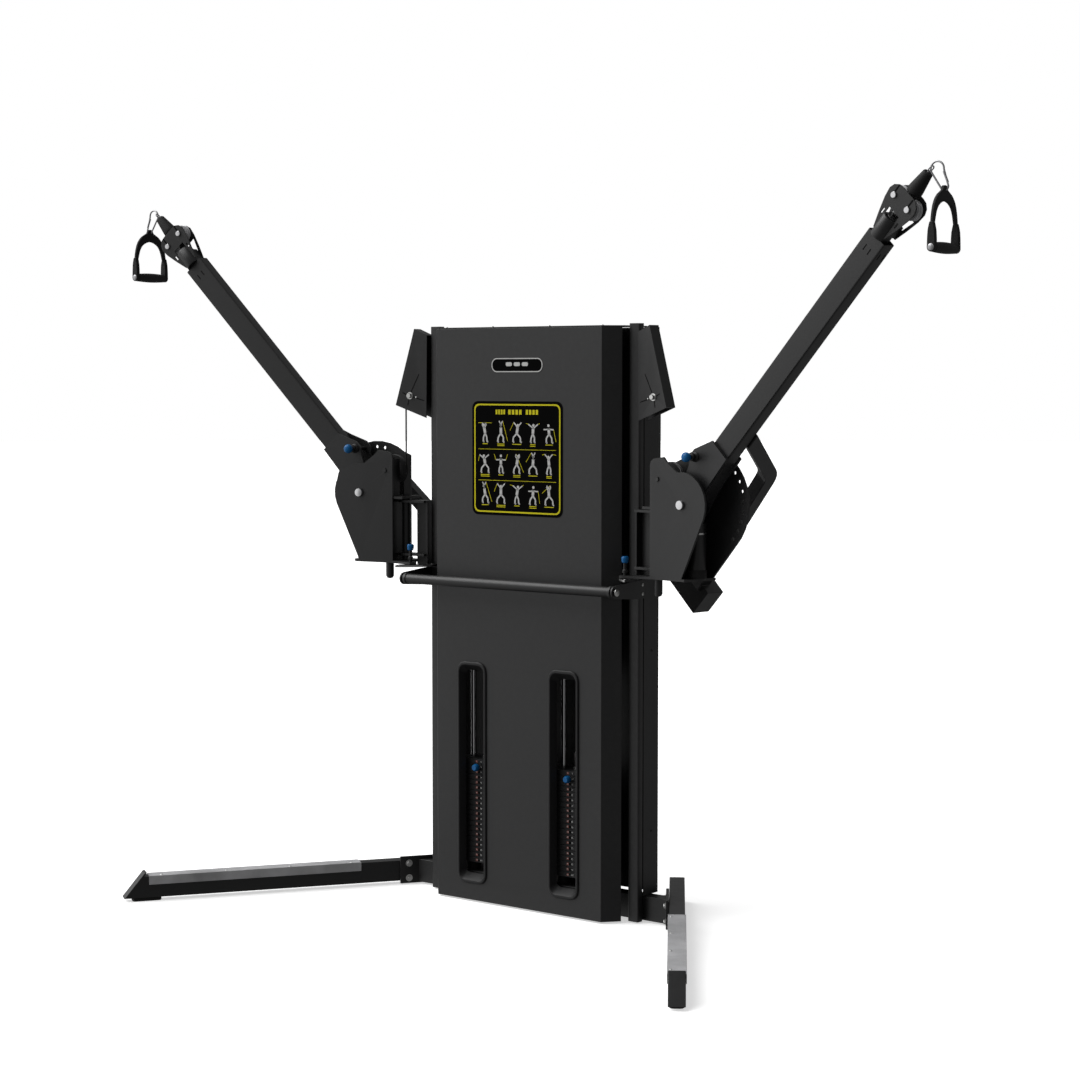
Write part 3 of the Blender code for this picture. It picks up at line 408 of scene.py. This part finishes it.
def band(outline_outer, outline_inner, lo, hi):
    places = ((outline_outer, lo), (outline_outer, hi), (outline_inner, hi), (outline_inner, lo))
    return join(bmesh.new(), [[in_plane("xz", a, b, c) for a, b in line] for line, c in places], True)


def figure(x, z, number):
    """A small generic exerciser, about 60 mm tall: head, trunk and limbs, in one of fifteen postures."""
    lean = (-0.22, 0.0, 0.18, 0.08, -0.10)[number % 5]
    lift = (2.4, 0.5, 1.5, -0.4, 0.9)[(number * 2 + number // 5) % 5]
    hip = Vector((x, z - 0.004))
    neck = hip + Vector((math.sin(lean), math.cos(lean))) * 0.019
    white = stroke([tuple(hip), tuple(neck)], 0.0105, -0.0012)
    head = neck + Vector((math.sin(lean), math.cos(lean))) * 0.0085
    white.append(prism(arc(head.x, head.y, 0.0048, 0, 330, 11), -0.0015, -0.0012, "xz"))
    hands = []
    for hand in (-1, 1):
        elbow = neck + Vector((math.cos(lift) * hand, math.sin(lift))) * 0.0115
        wrist = elbow + Vector((math.cos(lift * 0.55) * hand, math.sin(lift * 0.8 + 0.3))) * 0.0105
        white += stroke([(neck.x, neck.y - 0.002), tuple(elbow), tuple(wrist)], 0.0042, -0.0012)
        hands.append(wrist)
        knee = hip + Vector((hand * (0.007 + 0.004 * (number % 3)), -0.014))
        foot = knee + Vector((hand * 0.001 - 0.002 * (number % 2), -0.015))
        white += stroke([tuple(hip), tuple(knee), tuple(foot), (foot.x + 0.005, foot.y)], 0.0056, -0.0012)
    gold = []
    for hand, wrist in zip((-1, 1), hands):
        if (number + hand) % 3:
            gold += stroke([tuple(wrist), (x + hand * 0.029, z + (0.030, -0.030, 0.005)[number % 3])], 0.0016,
                           -0.0012)
    return white, gold


def make_placard():
    middle, height, width = (1.718 + 1.335) / 2, 0.383, 0.384
    face = prism(rounded(width, height, 0.024, 8, (0, middle)), -0.0012, -0.0002, "xz")
    piece("placard", [face], PRINT, "frame", bevel=0.0003)
    outer, inner = (rounded(width - 2 * g, height - 2 * g, 0.024 - g / 2, 8, (0, middle)) for g in (0.0090,
                                                                                                    0.0142))
    gold, white = [band(outer, inner, -0.0015, -0.0012)], []
    for x, half in ((-0.070, 0.022), (-0.008, 0.031), (0.064, 0.028)):
        for step in range(4):
            at = x - half + (step + 0.5) * half / 2
            gold += stroke([(at, 1.690), (at, 1.674)], half / 2.9, -0.0012)
    for z in (1.557, 1.452):
        gold += stroke([(-0.165, z), (0.165, z)], 0.0014, -0.0012)
    for row, z in enumerate((1.615, 1.511, 1.409)):
        for column in range(5):
            x = -0.136 + 0.068 * column
            a, b = figure(x, z, row * 5 + column)
            white += a
            gold += b
            for line in range(1 + (row + column) % 2):
                half = 0.011 + 0.004 * ((row * 2 + column) % 3)
                at = z - 0.0405 - 0.0052 * line
                gold += stroke([(x - half, at), (x + half, at)], 0.0024, -0.0012)
    piece("placard_yellow", gold, YELLOW, "frame")
    piece("placard_figures", white, WHITE, "frame")
    outer, inner = (rounded(0.216 - 2 * g, 0.047 - 2 * g, 0.022 - g, 10, (0, 1.8385)) for g in (0, 0.0034))
    piece("badge_outline", [band(outer, inner, -0.0010, -0.0002)], WHITE, "frame")
    field = prism(rounded(0.2092, 0.0402, 0.0186, 10, (0, 1.8385)), -0.0006, -0.0002, "xz")
    piece("badge_field", [field], PRINT, "frame")
    bars = []
    for x, half in ((-0.034, 0.013), (0.0, 0.013), (0.034, 0.013)):
        bars += [prism(rounded(2 * half, 0.013, 0.0055, 6, (x, 1.8415)), -0.0010, -0.0006, "xz")]
    piece("badge_bars", bars, WHITE, "frame")


# ---------------------------------------------------------------- weight stacks
def digits(text, size, x, z, y):
    """A printed number, as flat shapes in the row frame's x and z, from Blender's own font."""
    curve = bpy.data.curves.new("digits", "FONT")
    curve.body, curve.size, curve.extrude = text, size, 0.00015
    curve.align_x, curve.align_y = "CENTER", "CENTER"
    curve.resolution_u = 2
    held = bpy.data.objects.new("digits", curve)
    bpy.context.scene.collection.objects.link(held)
    mesh = bpy.data.meshes.new_from_object(held)
    bm = bmesh.new()
    bm.from_mesh(mesh)
    turn = Matrix.Translation((x, y, z)) @ Matrix.Rotation(math.radians(90), 4, "X")
    bmesh.ops.transform(bm, matrix=turn, verts=bm.verts)
    bpy.data.objects.remove(held)
    bpy.data.meshes.remove(mesh)
    bpy.data.curves.remove(curve)
    return bm


def make_stack(name, side):
    middle = sum(PLATE_Y) / 2
    split = PLATES - PLATES_LIFTED
    depth = PLATE_Y[1] - PLATE_Y[0]
    for part, first, last, body in (("resting", 0, split, "frame"),
                                    ("lifted", split, PLATES, f"stack_{name}")):
        plates, red, marks = [], [], []
        for i in range(first, last):
            z = STACK_BOTTOM + i * PLATE_PITCH
            outline = rounded(2 * PLATE_HALF, depth, 0.009, 5, (STACK_X, middle))
            plates.append(prism(outline, z + 0.0004, z + PLATE_PITCH - 0.0006, "xy"))
            label = rounded(0.0085, 0.0080, 0.001, 3, (STACK_X - side * 0.0095, z + 0.009))
            red.append(prism(label, PLATE_Y[0] - 0.0004, PLATE_Y[0] + 0.001, "xz"))
            marks.append((str((PLATES - i) * 5), z + 0.009))
        whole = piece(f"{part}_plates_finished_{name}", plates, IRON, body, side=side,
                      nodes=(f"{part}_plates_{name}",), bevel=0.0010)
        whole.modifiers["rolled_edges"].angle_limit = math.radians(50)
        piece(f"{part}_labels_red_{name}", red, RED, body, side=side)
        for column, dx, size in (("inner", -0.0095, 0.0060), ("outer", 0.0095, 0.0075)):
            whole = bmesh.new()
            for text, z in marks:
                bm = digits(text, size, side * STACK_X + dx, z, FRONT_Y + PLATE_Y[0] - 0.0005)
                held = bpy.data.meshes.new("held")
                bm.to_mesh(held)
                bm.free()
                whole.from_mesh(held)
                bpy.data.meshes.remove(held)
            stand(f"{part}_numbers_{column}_{name}", whole, WHITE, body)
        holes = []
        if part == "resting":
            for i in range(first, last):
                z = STACK_BOTTOM + i * PLATE_PITCH + 0.009
                holes.append(prism(arc(STACK_X, z, 0.0052, 0, 337.5, 15), PLATE_Y[0] - 0.0003,
                                   PLATE_Y[0] + 0.001, "xz"))
            piece(f"pin_holes_{name}", holes, DARK, body, side=side)
    top = STACK_BOTTOM + PLATES * PLATE_PITCH
    stem = lathe([(0, top - 0.002), (0.018, top - 0.002), (0.018, top + 0.006), (0.014, top + 0.009),
                  (0.014, top + 0.052),
                  (0.012, top + 0.058), (0, top + 0.060)], (STACK_X, middle), "xy", 32)
    piece(f"stack_stem_{name}", [stem], ZINC, f"stack_{name}", side=side)
    z = STACK_BOTTOM + split * PLATE_PITCH + 0.009
    knob = [(0, PLATE_Y[0] - 0.028), (0.0085, PLATE_Y[0] - 0.0278), (0.0115, PLATE_Y[0] - 0.024),
            (0.013, PLATE_Y[0] - 0.018),
            (0.0125, PLATE_Y[0] - 0.012), (0.0100, PLATE_Y[0] - 0.0075), (0.0060, PLATE_Y[0] - 0.006),
            (0, PLATE_Y[0] - 0.006)]
    piece(f"selector_knob_{name}", [lathe(knob, (STACK_X, z), "xz", 36)], BLUE, f"selector_pin_{name}",
          side=side,
          nodes=(f"selector_pin_{name}",))
    shaft = lathe([(0, PLATE_Y[0] - 0.007), (0.005, PLATE_Y[0] - 0.007), (0.005, PLATE_Y[0] + 0.056),
                   (0.003, PLATE_Y[0] + 0.060),
                   (0, PLATE_Y[0] + 0.060)], (STACK_X, z), "xz", 24)
    piece(f"selector_shaft_{name}", [shaft], CHROME, f"selector_pin_{name}", side=side)
    rods, stops = [], []
    for x in (STACK_X - ROD_SPREAD, STACK_X + ROD_SPREAD):
        rods.append(lathe([(0, 0.093), (ROD_R, 0.093), (ROD_R, 1.905), (0, 1.905)], (x, middle), "xy", 32))
        stops.append(lathe([(0, 0.096), (0.024, 0.096), (0.024, 0.125), (0.021, 0.1292), (0, 0.1292)],
                           (x, middle), "xy", 36))
    piece(f"guide_rods_{name}", rods, CHROME, "frame", side=side, nodes=(f"guide_frame_{name}",))
    piece(f"stack_stops_{name}", stops, RUBBER, "frame", side=side)
    ties = [box((STACK_X - 0.085, 0.064, 1.895), (STACK_X + 0.085, 0.104, 1.925)),
            box((STACK_X - 0.100, 0.040, 0.0886), (STACK_X + 0.100, 0.160, 0.0980))]
    piece(f"guide_ties_{name}", ties, FRAME, "frame", side=side, bevel=0.0015)


# ---------------------------------------------------------------- legs
def make_leg(name, side):
    rolled(f"leg_{name}", FRAME, 0.0020, 3)
    rolled(f"leg_tread_{name}", TREAD, 0.0012)
    for place in ("front", "rear"):
        rolled(f"foot_{place}_{name}", RUBBER, 0.0015)
    screws, top = [], 0.0875
    for t in (0.130, 0.355, 0.580, 0.800):
        screws += button((0.008, t), "xy", top + 0.0001, 1, 0.0050, 0.0022)
    piece(f"tread_screws_{name}", screws, ZINC, "frame", leg_frame, side)
    bolts = []
    for t in (1.006, 1.130):
        for z in (0.023, 0.076):
            bolts += bolt((t, z), "yz", -0.0104, -1, 0.0085, 0.006, True)
    piece(f"flange_bolts_{name}", bolts, ZINC, "frame", leg_frame, side)
    cap = prism(rounded(LEG_WIDTH - 0.001, 0.072, 0.005, 4, (LEG_WIDTH / 2, 0.0485)), 1.4100, 1.4115, "xz")
    piece(f"leg_cap_{name}", [cap], TRIM, "frame", leg_frame, side, bevel=0.0006)


# ---------------------------------------------------------------- wing, yaw bracket, carriage
def wheel(radius, bore, half):
    """A grooved nylon wheel's profile with a hub and a dished web."""
    hub = bore + 0.006
    rim = radius - half * 1.35
    return [(bore, -half), (hub, -half), (hub + 0.001, -half * 0.55), (rim, -half * 0.55),
            (rim + 0.001, -half),
            (radius - 0.0006, -half), (radius, -half * 0.9), (radius, -half * 0.75),
            (radius - half * 0.72, -half * 0.32),
            (radius - half * 0.80, 0), (radius - half * 0.72, half * 0.32), (radius, half * 0.75),
            (radius, half * 0.9),
            (radius - 0.0006, half), (rim + 0.001, half), (rim, half * 0.55), (hub + 0.001, half * 0.55),
            (hub, half), (bore, half)]


def make_wing(name, side):
    rolled(f"wing_{name}", FRAME, 0.0012)
    centre = WING_PULLEY
    piece(f"wing_wheel_{name}", [washer(wheel(0.0262, 0.0066, 0.006), centre, "xz")], NYLON,
          f"wing_pulley_{name}",
          yaw_frame, side, (f"wing_pulley_{name}",))
    face = -0.0095
    piece(f"wing_bolt_{name}", bolt(centre, "xz", face, -1, 0.0085, 0.0095, False), ZINC, "frame", yaw_frame,
          side)
    piece(f"wing_rivet_{name}", button((-0.046, 1.728), "xz", face, -1, 0.0030, 0.0016), ZINC, "frame",
          yaw_frame, side)
    slots = []
    for ends in (((-0.059, 1.809), (-0.0265, 1.747)), ((-0.0175, 1.722), (-0.013, 1.700)),
                 ((-0.007, 1.738), (0.008, 1.745)), ((-0.036, 1.729), (-0.080, 1.717))):
        slots += stroke(ends, 0.0030, face - 0.0001)
    piece(f"wing_slots_{name}", slots, DARK, "frame", yaw_frame, side)
    cable = lathe([(0, CARRIAGE_PULLEY[1] + 0.002), (CABLE_R, CARRIAGE_PULLEY[1] + 0.002),
                   (CABLE_R, WING_PULLEY[1] - 0.015),
                   (0, WING_PULLEY[1] - 0.015)], (0, 0), "xy", 16)
    piece(f"cable_drop_finished_{name}", [cable], RUBBER, "frame", yaw_frame, side, (f"cable_drop_{name}",))
    rolled(f"yaw_bracket_{name}", FRAME, 0.0008)
    screws = []
    for a in (192, 250):
        at = arc(0, 0, 0.1225, a, a + 1, 1)[0]
        screws += bolt(at, "xy", 1.1495, 1, 0.0038, 0.0016, True, False)
    piece(f"lock_plate_screws_{name}", screws, ZINC, "frame", yaw_frame, side)
    edge = prism(arc(0, 0, 0.1306, 185, 255, 20) + arc(0, 0, 0.1298, 255, 185, 20), 1.1432, 1.1488, "xy")
    piece(f"lock_plate_edge_{name}", [edge], ZINC, "frame", yaw_frame, side)


def make_carriage(name, side):
    body = f"carriage_{name}"
    rolled(body, FRAME, 0.0009)
    piece(f"carriage_wheel_{name}", [washer(wheel(0.054, 0.0086, 0.009), CARRIAGE_PULLEY, "xz", 64)], TRIM,
          f"carriage_pulley_{name}", yaw_frame, side, (f"carriage_pulley_{name}",))
    groove = washer([(0.0465, -0.0022), (0.0486, -0.0028), (0.0478, 0.0), (0.0486, 0.0028), (0.0465, 0.0022)],
                    CARRIAGE_PULLEY, "xz", 64)
    piece(f"carriage_groove_{name}", [groove], NYLON, f"carriage_pulley_{name}", yaw_frame, side)
    cheeks = [box((0.0185, lo, 1.385), (0.0215, hi, 1.515)) for lo, hi in ((-0.056, -0.014), (0.014, 0.056))]
    piece(f"carriage_cheeks_{name}", cheeks, TRIM, body, yaw_frame, side, bevel=0.0004)
    bolts = bolt(CARRIAGE_PULLEY, "xz", 0.068, 1, 0.0070, 0.003, True, False)
    for u in (0.040, 0.085, 0.130):
        bolts += bolt((u, -0.060), "xy", 1.1600, 1, 0.0045, 0.0035, True, False)
    piece(f"carriage_bolts_{name}", bolts, ZINC, body, yaw_frame, side)
    cap = [(0.0282, 1.1605), (0.0300, 1.1610), (0.0300, 1.186), (0.0288, 1.188), (0.0282, 1.188)]
    piece(f"damper_cap_{name}", [washer(cap, DAMPER, "xy")], RUBBER, body, yaw_frame, side)
    rod = [(0.0282, 1.300), (0.0292, 1.301), (0.0292, 1.306), (0.0282, 1.307)]
    piece(f"damper_ring_{name}", [washer(rod, DAMPER, "xy")], ZINC, body, yaw_frame, side)
    tip = 1.1500
    stem = lathe([(0, tip), (0.0048, tip), (0.0055, tip + 0.0008), (0.0055, 1.169), (0.0090, 1.169),
                  (0.0090, 1.177),
                  (0.0060, 1.180), (0.0060, 1.202), (0, 1.202)], YAW_PIN, "xy", 32)
    nut = lathe([(0, 1.1692), (0.0098, 1.1692), (0.0098, 1.1755), (0, 1.1755)], YAW_PIN, "xy", 6)
    piece(f"yaw_pin_stem_{name}", [stem, nut], TRIM, f"yaw_pin_{name}", yaw_frame, side)
    knob = lathe([(0, 1.2005), (0.0080, 1.2005), (0.0105, 1.203), (0.0108, 1.207), (0.0120, 1.213),
                  (0.0116, 1.218),
                  (0.0095, 1.2215), (0, 1.2222)], YAW_PIN, "xy", 36)
    piece(f"yaw_pin_knob_{name}", [knob], BLUE, f"yaw_pin_{name}", yaw_frame, side, (f"yaw_pin_{name}",))


# ---------------------------------------------------------------- arm and its pin
def make_arm(name, side):
    body = f"arm_{name}"
    rolled(body, FRAME, 0.0016, 3)
    rolled(f"arm_handle_{name}", FRAME, 0.0022, 3)
    heads = []
    for face, out in ((-0.0725, -1), (0.0725, 1)):
        heads.append(lathe([(0, face + out * -0.0075), (0.0152, face + out * -0.0075),
                            (0.0152, face - out * 0.002),
                            (0.0138, face + out * 0.0003), (0.0060, face + out * 0.0016),
                            (0, face + out * 0.0018)],
                           (0, 0), "xz", 40))
    piece(f"axle_heads_{name}", heads, CHROME, body, pitch_frame, side)
    marks = []
    for d, v in ((1.050, 0.011), (1.050, -0.011)):
        marks.append(prism(rounded(0.022, 0.0035, 0.0017, 4, (d, 0.022 + v)), -0.0253, -0.0249, "xz"))
        marks.append(prism(rounded(0.022, 0.0035, 0.0017, 4, (d + 0.006, v)), -0.0183, -0.0179, "xy"))
    piece(f"arm_slots_{name}", marks, DARK, body, pitch_frame, side)
    place = (PIN_CIRCLE * math.cos(PIN_ANGLE), PIN_CIRCLE * math.sin(PIN_ANGLE))
    ball = [(0, -0.092), (0.0060, -0.0915), (0.0110, -0.0895), (0.0145, -0.0855), (0.0157, -0.0805),
            (0.0152, -0.0750),
            (0.0130, -0.0700), (0.0090, -0.0668), (0, -0.0660)]
    piece(f"pitch_pin_knob_{name}", [lathe(ball, place, "xz", 40)], BLUE, f"pitch_pin_{name}", pitch_frame,
          side,
          (f"pitch_pin_{name}",))
    stem = [(0, -0.0672), (0.0070, -0.0672), (0.0070, -0.060), (0.0125, -0.0585), (0.0130, -0.056),
            (0.0130, -0.049),
            (0.0115, -0.0465), (0.0060, -0.0462), (0.0060, 0.0545), (0.0050, 0.0556), (0, 0.0556)]
    piece(f"pitch_pin_stem_{name}", [lathe(stem, place, "xz", 36)], TRIM, f"pitch_pin_{name}", pitch_frame,
          side)
    flange = [(0.0068, -0.0372), (0.0160, -0.0372), (0.0160, -0.0400), (0.0110, -0.0455), (0.0068, -0.0455)]
    piece(f"pin_housing_{name}", [washer(flange, place, "xz", 36)], TRIM, body, pitch_frame, side)


# ---------------------------------------------------------------- head, cable end, handle
def make_head(name, side):
    body = f"head_{name}"
    rolled(body, FRAME, 0.0010)
    for label, q in (("upper", HEAD_PULLEY_Q), ("lower", -HEAD_PULLEY_Q)):
        pulley = f"head_pulley_{label}_{name}"
        piece(f"head_wheel_{label}_{name}", [washer(wheel(0.0305, 0.0066, 0.008), (HEAD_PULLEY_E, q), "xz",
                                                    48)], NYLON,
              pulley, head_frame, side, (pulley,))
    caps, slots = [], []
    for q in (HEAD_PULLEY_Q, -HEAD_PULLEY_Q):
        for face, out in ((-0.0310, -1), (0.0310, 1)):
            caps.append(lathe([(0, face - out * 0.004), (0.0098, face - out * 0.004),
                               (0.0098, face - out * 0.001),
                               (0.0085, face + out * 0.0006), (0, face + out * 0.0010)], (HEAD_PULLEY_E, q),
                              "xz", 36))
        for face in (-0.0260, 0.0260):
            lo, hi = sorted((face, face * 1.012))
            slots.append(prism(rounded(0.026, 0.0055, 0.0026, 5, (0.150, q + 0.004)), lo, hi, "xz"))
    piece(f"head_bolts_{name}", caps, CHROME, body, head_frame, side)
    piece(f"head_slots_{name}", slots, DARK, body, head_frame, side)
    sleeve = [(0.0200, 0.0010), (0.0268, 0.0010), (0.0272, 0.0022), (0.0272, 0.0700), (0.0258, 0.0720),
              (0.0200, 0.0720)]
    piece(f"barrel_sleeve_{name}", [washer(sleeve, (-0.0160, 0), "yz", 56)], FRAME, body, head_frame, side)
    ring = [(0.0106, 0.0728), (0.0180, 0.0728), (0.0180, 0.0747), (0.0106, 0.0747)]
    piece(f"barrel_ring_{name}", [washer(ring, (0, 0), "yz", 40)], TRIM, body, head_frame, side)


def make_cable_end(name, side):
    body = f"cable_end_{name}"
    cone = [(0, 0.1668), (0.0222, 0.1668), (0.0238, 0.1685), (0.0245, 0.1725), (0.0243, 0.178),
            (0.0235, 0.186),
            (0.0200, 0.211), (0.0165, 0.236), (0.0156, 0.2405), (0.0138, 0.2430), (0, 0.2434)]
    piece(f"cable_stop_{name}", [lathe(cone, (0, 0), "yz", 48)], RUBBER, body, head_frame, side,
          (f"cable_end_{name}",))
    cable = lathe([(0, -0.880), (CABLE_R, -0.880), (CABLE_R, 0.168), (0, 0.168)], (0, 0), "yz", 16)
    piece(f"cable_finished_{name}", [cable], RUBBER, body, head_frame, side)
    sleeve = lathe([(0, 0.2425), (0.0045, 0.2425), (0.0045, 0.2476), (0.0038, 0.2482), (0, 0.2482)], (0, 0),
                   "yz", 24)
    circle = [(e, v, 0) for e, v in arc(EYE_E - 0.0030, 0, 0.0092, 0, 350, 35)]
    piece(f"cable_eye_{name}", [sleeve, swept(circle, 0.0021, 14, True)], WIRE, body, head_frame, side)


def yoke():
    """Half of the stirrup's arch: outer and inner edge in b and z, from the top down."""
    outer = [(0.0, 0.000), (0.006, -0.0006), (0.010, -0.002), (0.0125, -0.008), (0.016, -0.014),
             (0.026, -0.0195),
             (0.039, -0.0265), (0.050, -0.0360), (0.0585, -0.047), (0.0650, -0.060), (0.0700, -0.076),
             (0.0735, -0.093), (0.0755, -0.110), (0.0770, -0.130)]
    inner = [(0.0, -0.046), (0.006, -0.0463), (0.012, -0.0475), (0.018, -0.0492), (0.024, -0.0515),
             (0.031, -0.0552),
             (0.038, -0.060), (0.0445, -0.0672), (0.050, -0.076), (0.0545, -0.0875), (0.058, -0.100),
             (0.0605, -0.109), (0.0625, -0.118), (0.0625, -0.130)]
    return outer, inner


def make_handle(name, side):
    body = f"handle_{name}"
    path = arc(*LOOP_TOP, LOOP_TOP_R, 205, -5, 28) + arc(*LOOP_LOW, LOOP_LOW_R, -5, -155, 20)
    loop = swept([(w, 0.0, z) for w, z in path], 0.0028, 16, True)
    gate = swept([(0.0388, 0.0, -0.0120), (0.0520, 0.0, -0.0440)], 0.0034, 16)
    piece(f"carabiner_finished_{name}", [loop, gate], WIRE, body, eye_frame, side, (f"carabiner_{name}",))
    w, half = LOOP_LOW[0], 0.005
    outer, inner = yoke()
    top = LOOP_LOW[1] - LOOP_LOW_R + 0.0145
    axis = top - 0.178
    whole = [(b, top + z) for b, z in outer + inner[::-1]] + [(-b, top + z) for b, z in inner[1:]]
    whole += [(-b, top + z) for b, z in outer[:0:-1]]
    arch = prism(whole, w - half, w + half, "yz")
    legs, caps = [], []
    for hand in (-1, 1):
        lo, hi = sorted((hand * 0.0630, hand * STIRRUP_HALF))
        leg = arc(w, axis, 0.0135, 180, 360, 16) + [(w + 0.0128, top - 0.150), (w + 0.0115, top - 0.130)]
        leg += [(w + 0.0085, top - 0.116), (w + 0.006, top - 0.106), (w - 0.006, top - 0.106)]
        leg += [(w - 0.0085, top - 0.116), (w - 0.0115, top - 0.130), (w - 0.0128, top - 0.150)]
        legs.append(prism(leg, lo, hi, "xz"))
        face = hand * STIRRUP_HALF
        caps.append(lathe([(0, face - hand * 0.002), (0.0100, face - hand * 0.002), (0.0100, face),
                           (0.0090, face + hand * 0.0007), (0, face + hand * 0.0011)], (w, axis), "xz", 36))
    shell = piece(f"stirrup_finished_{name}", [arch] + legs, RUBBER, body, eye_frame, side,
                  (f"stirrup_{name}",),
                  bevel=0.0028, segments=4)
    shell.modifiers["rolled_edges"].angle_limit = math.radians(50)
    piece(f"stirrup_caps_{name}", caps, WIRE, body, eye_frame, side)
    grip = []
    for i in range(65):
        b = -0.064 + 0.128 * i / 64
        swell = 0.0140 + 0.0028 * math.cos(math.pi * b / 0.128)
        grip.append((swell - (0.0006 if i % 4 == 0 and 3 < i < 61 else 0.0), b))
    piece(f"stirrup_grip_{name}", [lathe([(0, -0.064)] + grip + [(0, 0.064)], (w, axis), "xz", 48)], GRIP,
          body,
          eye_frame, side)


# ---------------------------------------------------------------- floor, light and camera
def make_floor():
    bm = bmesh.new()
    steps = [bm.verts.new((x, y, 0.0)) for x, y in arc(0, 0, 60, 0, 355, 71)]
    bm.faces.new(steps)
    mesh = bpy.data.meshes.new("floor")
    bm.to_mesh(mesh)
    bm.free()
    pale = finish("pale_floor", (0.86, 0.86, 0.86), 0.80, 0.0, 40, 0.0005, 0.05, 0.01, 0.05, 0, 0, 0.2)
    shader = pale.node_tree.nodes["Principled BSDF"]
    shader.inputs["Emission Color"].default_value = (1, 1, 1, 1)
    shader.inputs["Emission Strength"].default_value = 0.55
    mesh.materials.append(pale)
    floor = bpy.data.objects.new("floor", mesh)
    bpy.context.scene.collection.objects.link(floor)
    floor.visible_diffuse = floor.visible_glossy = False


def make_light():
    world = bpy.data.worlds.new("studio")
    world.use_nodes = True
    tree = world.node_tree
    back = tree.nodes["Background"]
    back.inputs["Color"].default_value = (1, 1, 1, 1)
    coord = tree.nodes.new("ShaderNodeTexCoord")
    facing = tree.nodes.new("ShaderNodeVectorMath")
    facing.operation = "DOT_PRODUCT"
    facing.inputs[1].default_value = Vector((-0.90, -0.42, 0.15)).normalized()
    link(tree, coord.outputs["Generated"], facing.inputs[0])
    soft = tree.nodes.new("ShaderNodeMapRange")
    soft.interpolation_type = "SMOOTHSTEP"
    soft.inputs["From Min"].default_value = 0.45
    soft.inputs["To Min"].default_value = 0.22
    soft.inputs["To Max"].default_value = 1.05
    link(tree, facing.outputs["Value"], soft.inputs["Value"])
    path = tree.nodes.new("ShaderNodeLightPath")
    level = tree.nodes.new("ShaderNodeMix")
    level.inputs["B"].default_value = 1.0
    link(tree, path.outputs["Is Camera Ray"], level.inputs["Factor"])
    link(tree, soft.outputs["Result"], level.inputs["A"])
    link(tree, level.outputs["Result"], back.inputs["Strength"])
    bpy.context.scene.world = world
    sun = bpy.data.lights.new("key", "SUN")
    sun.energy, sun.angle = 3.0, math.radians(60)
    made = bpy.data.objects.new("key", sun)
    made.rotation_euler = Vector((0.56, 0.32, -0.77)).to_track_quat("-Z", "Y").to_euler()
    bpy.context.scene.collection.objects.link(made)
    bpy.context.scene.view_settings.view_transform = "Standard"


def make_camera():
    camera = bpy.data.cameras.new("camera")
    camera.lens, camera.sensor_width = 78.16, 36
    camera.clip_end = 300
    made = bpy.data.objects.new("camera", camera)
    made.location = (4.857, -6.0083, 1.794)
    made.rotation_euler = (math.pi / 2 - math.radians(3.941), 0, math.radians(37.766))
    bpy.context.scene.collection.objects.link(made)
    bpy.context.scene.camera = made


make_camera()
make_light()
make_floor()
make_tower()
make_placard()
for name, side in SIDES:
    make_stack(name, side)
    make_leg(name, side)
    make_wing(name, side)
    make_carriage(name, side)
    make_arm(name, side)
    make_head(name, side)
    make_cable_end(name, side)
    make_handle(name, side)
